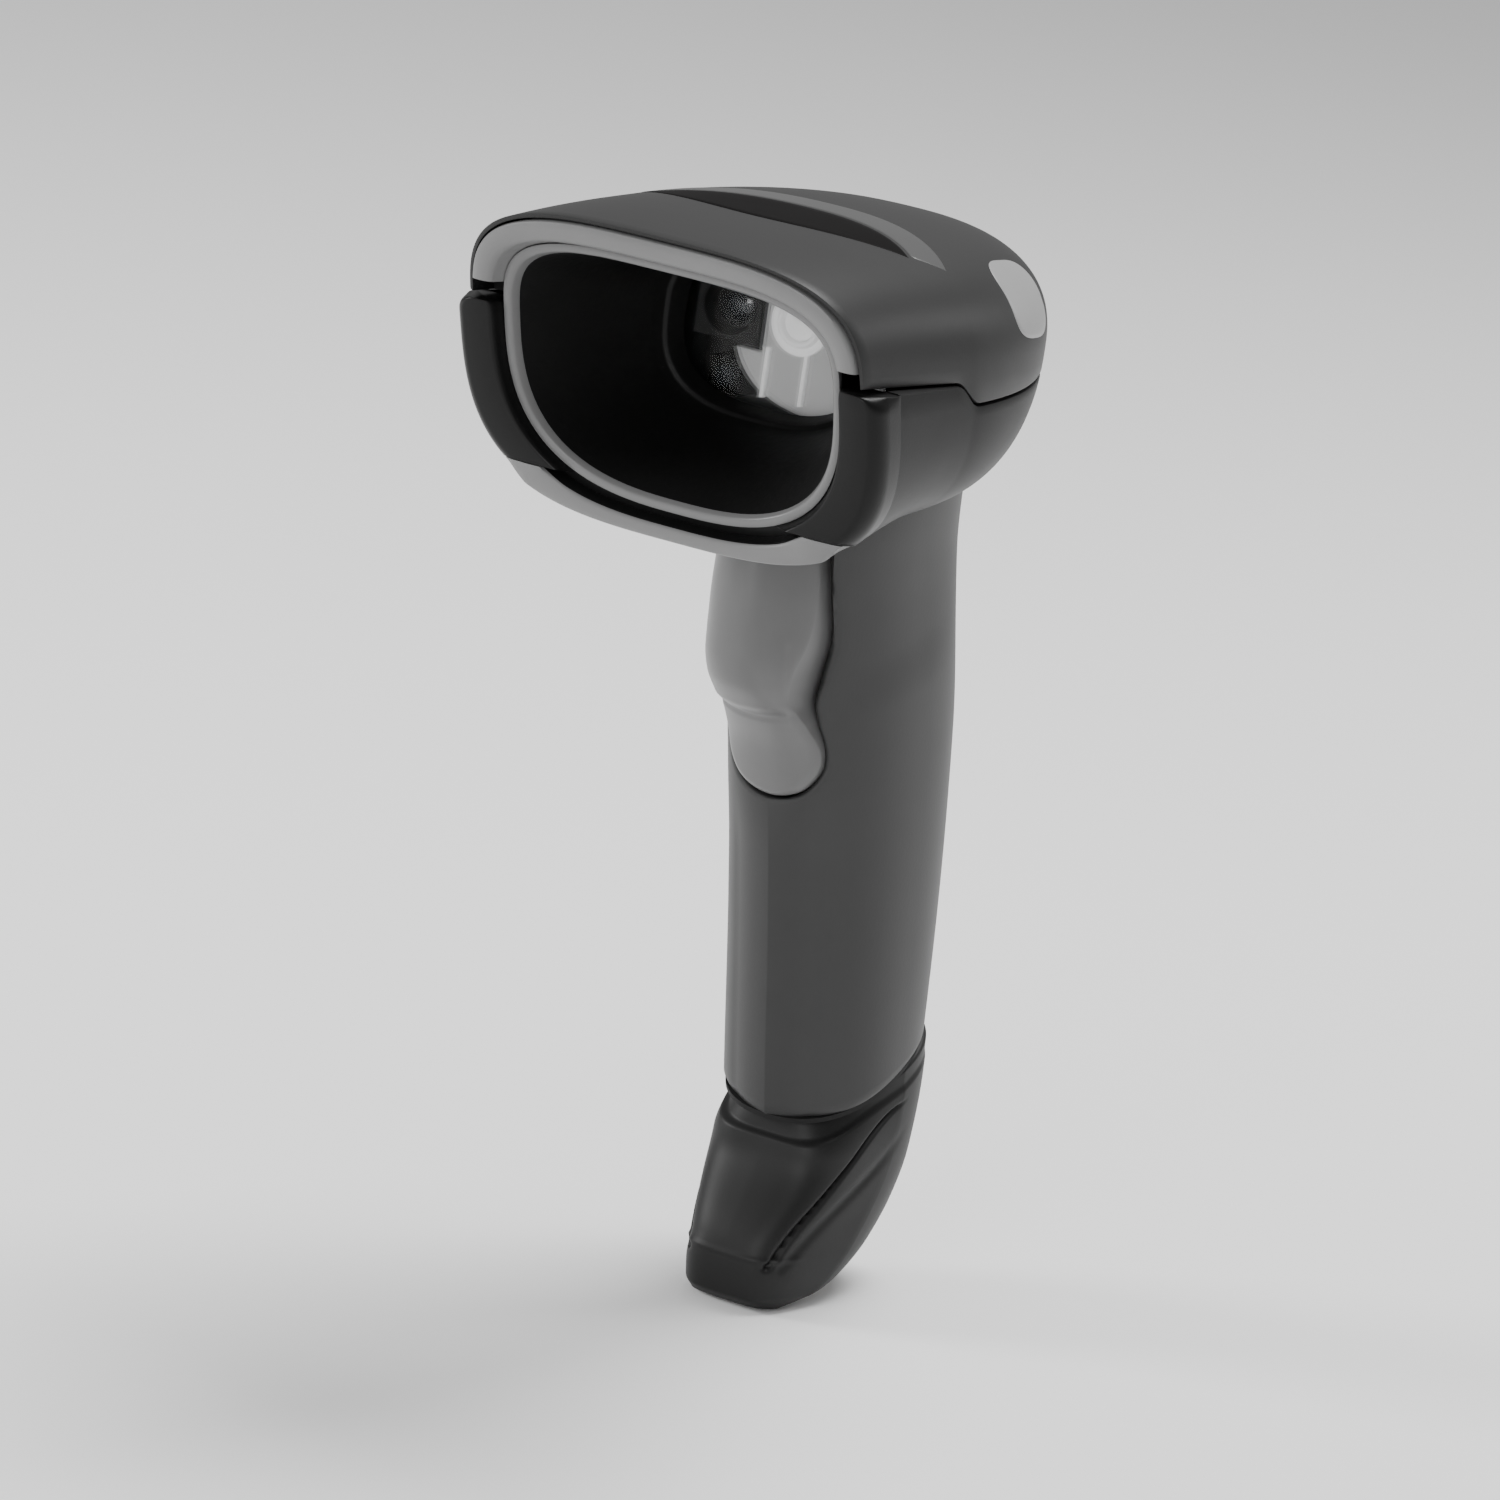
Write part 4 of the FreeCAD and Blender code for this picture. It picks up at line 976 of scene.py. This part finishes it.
springCoil = buildSpring()
springCoil.data.materials.append(steel)
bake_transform(springCoil)
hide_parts("trigger_spring")

# foot
foot = {"frontLine": [(0, 63.4), (1.5, 61.9), (6.5, 61), (8.5, 61.3), (22, 68), (30, 69), (42, 66.5)],
        "backLine": [(0, 74), (1.2, 80), (3.5, 86), (7.5, 92), (13, 96.2), (20, 98.4), (30, 98.9), (42, 98.4)],
        "halfWidths": [(0, 8), (2, 9.6), (8, 11.2), (18, 12.2), (30, 12.5), (42, 12.5)],
        "noseWidths": [(0, 6.4), (2, 7.4), (8, 8), (22, 10.8), (30, 9.6), (42, 8.6)],
        "groove": [(62.6, 6.6), (65.8, 11.6), (69, 15.2), (74.9, 21.4), (78, 24.2), (82.9, 27.6), (87, 29.4)],
        "softGroove": [(64.6, 6.6), (68.4, 10.6), (73, 14.2), (77.5, 17.2), (82.1, 20.2), (86, 23.4), (89, 26)],
        "grooveDepth": 0.8, "grooveWidth": 0.36, "collar": 3.3, "collarStep": 0.75, "rows": 150, "columns": 220,
        "keel": 0.5, "toeZ": 7.6}
socket = {"y": 80.0, "z": 3.4, "lean": 14.0, "halfWide": 6.0, "halfDeep": 3.5}


def footPoint(angle, z, inset=0.0):
    front = ease(z, foot["frontLine"]) + inset
    back = ease(z, foot["backLine"]) - inset
    half = ease(z, foot["halfWidths"]) - inset
    noseHalf = ease(z, foot["noseWidths"]) - inset
    middle = front + (back - front) * 0.55
    blunt = ease(z, [(0, 4.5), (22, 4.5), (30, 2.6), (42, 2.4)])
    s, c = math.sin(angle), math.cos(angle)
    if s < 0:
        reach = power(s, blunt)
        x = (half + (noseHalf - half) * abs(reach)) * power(c, blunt)
        y = middle + (middle - front) * reach
        y += foot["keel"] * (abs(x) / 10) ** 1.3 * smooth(z, 7.6, 9.5) * (1 - smooth(z, 19, 24)) * reach ** 4
    else:
        x = half * power(c, 2.4)
        y = middle + (back - middle) * power(s, 2.4)
    return x, y, z


# the smooth curve through groove points, finely sampled
def fineLine(points):
    return [(y, ease(y, points)) for y in evenly(points[0][0], points[-1][0], 36)]


def lineDistance(line, y, z):
    best, share = 1e9, 0.0
    for i, ((y0, z0), (y1, z1)) in enumerate(zip(line, line[1:])):
        dy, dz = y1 - y0, z1 - z0
        t = clamp(((y - y0) * dy + (z - z0) * dz) / (dy * dy + dz * dz))
        away = math.hypot(y - y0 - dy * t, z - z0 - dz * t)
        if away < best:
            best, share = away, (i + t) / (len(line) - 1)
    return best, share


grooveLine = fineLine(foot["groove"])
softLine = fineLine(foot["softGroove"])


def footRelief(x, y, z, angle):
    side = smooth(abs(x), 5.0, 6.6)
    # a fine raised line where the toe's upright face meets the facet above it
    toeLine = 0.16 * math.exp(-((z - foot["toeZ"]) / 0.4) ** 2) * smooth(-math.sin(angle), 0.2, 0.6)
    away, share = lineDistance(grooveLine, y, z)
    wide = foot["grooveWidth"] * (1.2 - 0.5 * share)
    depth = foot["grooveDepth"] * math.exp(-(away / wide) ** 2) * (1 - smooth(share, 0.75, 1.0)) * side
    away, share = lineDistance(softLine, y, z)
    depth += 0.4 * foot["grooveDepth"] * math.exp(-(away / 0.9) ** 2) * (1 - smooth(share, 0.6, 1.0)) * side
    below = jointHeight(y) - z
    front = 0.5 - 0.5 * math.sin(angle)
    depth += foot["collarStep"] * front * (1 - smooth(below, foot["collar"] - 0.5, foot["collar"] + 0.5))
    depth += rollDrop(below - 0.45, 0.35)
    return depth - toeLine


# angles that put the columns at even distances round the foot's middle section
def evenAngles(count, z):
    fine = [2 * math.pi * k / 4000 for k in range(4001)]
    outline = [footPoint(a, z) for a in fine]
    lengths = [0.0]
    for a, b in zip(outline, outline[1:]):
        lengths.append(lengths[-1] + math.dist(a, b))
    angles, k = [], 0
    for j in range(count):
        wanted = lengths[-1] * (j + 0.5) / count
        while lengths[k + 1] < wanted:
            k += 1
        angles.append(fine[k])
    return angles


def padHeight(y):
    return max(socket["z"] + (y - socket["y"]) * math.tan(math.radians(socket["lean"])), 0.0)


def buildFoot():
    angles = evenAngles(foot["columns"], 14.0)
    tops, lows = [], []
    for angle in angles:
        tops.append(solveHeight(15, 50, lambda z: z > jointHeight(footPoint(angle, z)[1]) - 0.45))
        lows.append(solveHeight(0, 12, lambda z: z > padHeight(footPoint(angle, z)[1])))
    shares = [(i / foot["rows"]) ** 1.12 for i in range(foot["rows"] + 1)]
    outer, inner = [], []
    for share in shares:
        row, behind = [], []
        for angle, top, low in zip(angles, tops, lows):
            z = low + (top - low) * share
            x, y, _ = footPoint(angle, z)
            row.append(footPoint(angle, z, footRelief(x, y, z, angle)))
            behind.append(footPoint(angle, max(z, 2.4), 2.2))
        outer.append(row)
        inner.append(behind)
    made = Builder()
    made.grid(outer, closeColumns=True)
    made.grid([row[::-1] for row in inner[::5]] + [inner[-1][::-1]], closeColumns=True)
    made.grid([outer[-1], inner[-1]], closeColumns=True)
    return made, outer[0]


# The underside: rings that run in from the foot's lowest outline to the socket's opening.
def closeUnderside(made, rim):
    wide, deep = socket["halfWide"], socket["halfDeep"]
    centreY = socket["y"]
    rows = [rim]
    inner = []
    for x, y, z in rim:
        angle = math.atan2(y - centreY, x)
        scale = 1 / max(abs(math.cos(angle)) / wide, abs(math.sin(angle)) / deep)
        inner.append((scale * math.cos(angle), centreY + scale * math.sin(angle)))
    for t in evenly(0, 1, 14)[1:]:
        row = []
        for (x, y, z), (ix, iy) in zip(rim, inner):
            px, py = x + (ix - x) * t, y + (iy - y) * t
            row.append((px, py, padHeight(py)))
        rows.append(row)
    rows.append([(ix, iy, padHeight(iy) + 1.4) for ix, iy in inner])
    made.grid(rows, closeColumns=True)


footBuilder, footRim = buildFoot()
closeUnderside(footBuilder, footRim)
dress(footBuilder.make("footShell", 50), footPlastic, nodes=["foot"])
print("foot built")

# lamp plate
lamp = {"frontY": 38.9, "plateY": 39.6, "thick": 1.2, "x": 2.0, "z": 145.6,
        "ribX": -2.3, "ribStep": 6.0, "ribCount": 2, "ribLow": 134.4, "ribHigh": 141.4}


# Repeats a small piece along a line with Geometry Nodes, and returns the baked result.
def repeatPiece(name, base, count, step, material):
    group = bpy.data.node_groups.new(name + "Nodes", "GeometryNodeTree")
    group.interface.new_socket("Base", in_out="INPUT", socket_type="NodeSocketObject")
    group.interface.new_socket("Count", in_out="INPUT", socket_type="NodeSocketInt")
    group.interface.new_socket("Step", in_out="INPUT", socket_type="NodeSocketVector")
    group.interface.new_socket("Material", in_out="INPUT", socket_type="NodeSocketMaterial")
    group.interface.new_socket("Seed", in_out="INPUT", socket_type="NodeSocketInt")
    group.interface.new_socket("Geometry", in_out="OUTPUT", socket_type="NodeSocketGeometry")
    inputs = addNode(group, "NodeGroupInput")
    line = addNode(group, "GeometryNodeMeshLine", {"mode": "OFFSET"},
                   {"Count": inputs.outputs["Count"], "Offset": inputs.outputs["Step"]})
    source = addNode(group, "GeometryNodeObjectInfo", None, {"Object": inputs.outputs["Base"]})
    copies = addNode(group, "GeometryNodeInstanceOnPoints", None,
                     {"Points": line.outputs["Mesh"], "Instance": source.outputs["Geometry"]})
    real = addNode(group, "GeometryNodeRealizeInstances", None, {"Geometry": copies.outputs["Instances"]})
    painted = addNode(group, "GeometryNodeSetMaterial", None,
                      {"Geometry": real.outputs["Geometry"], "Material": inputs.outputs["Material"]})
    addNode(group, "NodeGroupOutput", None, {"Geometry": painted.outputs["Geometry"]})
    holder = bpy.data.objects.new(name + "Maker", bpy.data.meshes.new(name + "Maker"))
    bpy.context.scene.collection.objects.link(holder)
    maker = holder.modifiers.new("repeat", "NODES")
    maker.node_group = group
    settings = {"Base": base, "Count": count, "Step": Vector(step) / 1000, "Material": material, "Seed": 7}
    for item in group.interface.items_tree:
        if item.in_out == "INPUT":
            maker[item.identifier] = settings[item.name]
    bpy.context.view_layer.update()
    graph = bpy.context.evaluated_depsgraph_get()
    mesh = bpy.data.meshes.new_from_object(holder.evaluated_get(graph))
    mesh.name = name
    holder.modifiers.remove(maker)
    bpy.data.objects.remove(holder)
    bpy.data.objects.remove(base)
    piece = bpy.data.objects.new(name, mesh)
    bpy.context.scene.collection.objects.link(piece)
    return piece


# a box with softened edges, corners given in drawing millimetres
def softBox(name, low, high, soft=0.12):
    made = Builder()
    (x0, y0, z0), (x1, y1, z1) = low, high
    rows = []
    for y, inset in ((y1, 0.0), (y0 + soft, 0.0), (y0 + soft * 0.3, soft * 0.3), (y0, soft)):
        rows.append([(x0 + inset, y, z0 + inset), (x1 - inset, y, z0 + inset), (x1 - inset, y, z1 - inset),
                     (x0 + inset, y, z1 - inset)])
    made.grid(rows, closeColumns=True)
    made.cap(rows[0])
    made.cap(rows[-1])
    return made.make(name, 50)


def lampOutline():
    corner = [(-3.4, 152.0), (15.6, 152.0), (15.6, 133.0), (6.0, 133.0)]
    arc = []
    for t in evenly(0, 1, 14)[1:]:
        x = (1 - t) ** 2 * 6.0 + 2 * t * (1 - t) * -4.6 + t ** 2 * -7.4
        z = (1 - t) ** 2 * 133.0 + 2 * t * (1 - t) * 133.4 + t ** 2 * 140.4
        arc.append((x, z))
    return corner + arc + [(-3.4, 140.4)]


def buildLampPlate():
    made = Builder()
    outline = lampOutline()
    centreX = sum(p[0] for p in outline) / len(outline)
    centreZ = sum(p[1] for p in outline) / len(outline)

    def shrink(amount):
        line = []
        for x, z in outline:
            away = math.hypot(x - centreX, z - centreZ)
            line.append((x + (centreX - x) * amount / away, z + (centreZ - z) * amount / away))
        return line

    y = lamp["plateY"]
    profile = [(y + lamp["thick"], 0.0), (y + 0.1, 0.0), (y, 0.15), (y, 0.5), (y + 0.25, 0.75), (y + 0.25, 1.0)]
    rows = [[(x, depth, z) for x, z in shrink(inset)] for depth, inset in profile]
    made.grid(rows, closeColumns=True)
    made.cap(rows[0])
    made.cap(rows[-1])
    return made.make("lampPlate", 50)


# ring lens: turned profile of (radius, height above the plate)
def buildLampRing():
    profile = [(4.6, -0.1), (4.5, 0.25), (4.2, 0.3), (3.9, 0.2), (3.5, 0.2), (3.3, 0.75), (3.1, 0.9), (2.7, 0.9),
               (2.5, 0.7), (2.4, 0.1), (1.6, 0.25), (0.8, 0.4), (0.02, 0.45)]
    rows = []
    for radius, height in profile:
        rows.append([(lamp["x"] + radius * math.cos(a), lamp["plateY"] - height, lamp["z"] + radius * math.sin(a))
                     for a in ringOfAngles(64)])
    made = Builder()
    made.grid(rows, closeColumns=True)
    made.cap(rows[-1])
    made.cap(rows[0])
    return made.make("lampRing", 60)


dress(buildLampPlate(), lampPlatePaintedGlow, nodes=["illumination_lens"])
dress(buildLampRing(), lampRingPaintedGlow, nodes=["illumination_lens"])
ribBase = softBox("ribBase", (lamp["ribX"] - 0.3, lamp["frontY"] + 0.2, lamp["ribLow"]),
                  (lamp["ribX"] + 0.3, lamp["plateY"] + 0.4, lamp["ribHigh"]))
dress(repeatPiece("lampRibs", ribBase, lamp["ribCount"], (lamp["ribStep"], 0, 0), lampRingPaintedGlow), lampRingPaintedGlow,
      nodes=["illumination_lens"])
print("lamp plate built")

# floor, light and camera
studio = {"floorDrop": 0.0006, "keyPower": 7.0, "fillPower": 5.5, "topPower": 13.0, "rimPower": 1.6, "sky": 0.4}


def studioScene():
    scene = bpy.context.scene
    size = 4.0
    floorZ = cadBounds[0][2] - studio["floorDrop"]
    mesh = bpy.data.meshes.new("floor")
    mesh.from_pydata([(-size, -size, floorZ), (size, -size, floorZ), (size, size, floorZ), (-size, size, floorZ)],
                     [], [(0, 1, 2, 3)])
    floor = bpy.data.objects.new("floor", mesh)
    scene.collection.objects.link(floor)
    material, tree, shader = newMaterial("paleFloor")
    shader.inputs["Base Color"].default_value = linearColour("#fbfbfb")
    shader.inputs["Roughness"].default_value = 0.95
    mesh.materials.append(material)
    world = bpy.data.worlds.new("studioWorld")
    world.use_nodes = True
    world.node_tree.nodes["Background"].inputs["Color"].default_value = (1, 1, 1, 1)
    world.node_tree.nodes["Background"].inputs["Strength"].default_value = studio["sky"]
    scene.world = world
    lamps = [("keyLight", (-0.85, -0.5, 0.35), 0.3, studio["keyPower"]),
             ("fillLight", (0.15, -1.2, 0.3), 0.5, studio["fillPower"]),
             ("topLight", (0.1, 0.3, 1.0), 0.5, studio["topPower"]),
             ("rimLight", (0.6, 1.0, 0.5), 0.4, studio["rimPower"])]
    for name, where, lampSize, energy in lamps:
        lamp = bpy.data.lights.new(name, "AREA")
        lamp.size = lampSize
        lamp.energy = energy
        lampObject = bpy.data.objects.new(name, lamp)
        lampObject.location = where
        aim = Vector((0, 0, 0.02)) - Vector(where)
        lampObject.rotation_euler = aim.to_track_quat("-Z", "Y").to_euler()
        scene.collection.objects.link(lampObject)


camera = {"turn": 28.1283, "height": 14.1224, "roll": 8.4704, "lens": 177.18, "fromNose": (465.2, -823.4, 332.3)}


def makeCamera():
    turn, height, roll = (math.radians(camera[k]) for k in ("turn", "height", "roll"))
    back = Vector((math.sin(turn) * math.cos(height), -math.cos(turn) * math.cos(height), math.sin(height)))
    right = Vector((math.cos(turn), math.sin(turn), 0))
    up = back.cross(right)
    rolledRight = math.cos(roll) * right + math.sin(roll) * up
    rolledUp = -math.sin(roll) * right + math.cos(roll) * up
    lens = bpy.data.cameras.new("camera")
    lens.lens = camera["lens"]
    lens.sensor_width = 36
    lens.clip_start = 0.05
    lens.clip_end = 20
    viewer = bpy.data.objects.new("camera", lens)
    turned = Matrix((rolledRight, rolledUp, back)).transposed().to_4x4()
    viewer.matrix_world = Matrix.Translation(place(*camera["fromNose"])) @ turned
    bpy.context.scene.collection.objects.link(viewer)
    bpy.context.scene.camera = viewer


studioScene()
makeCamera()
print("studio ready")
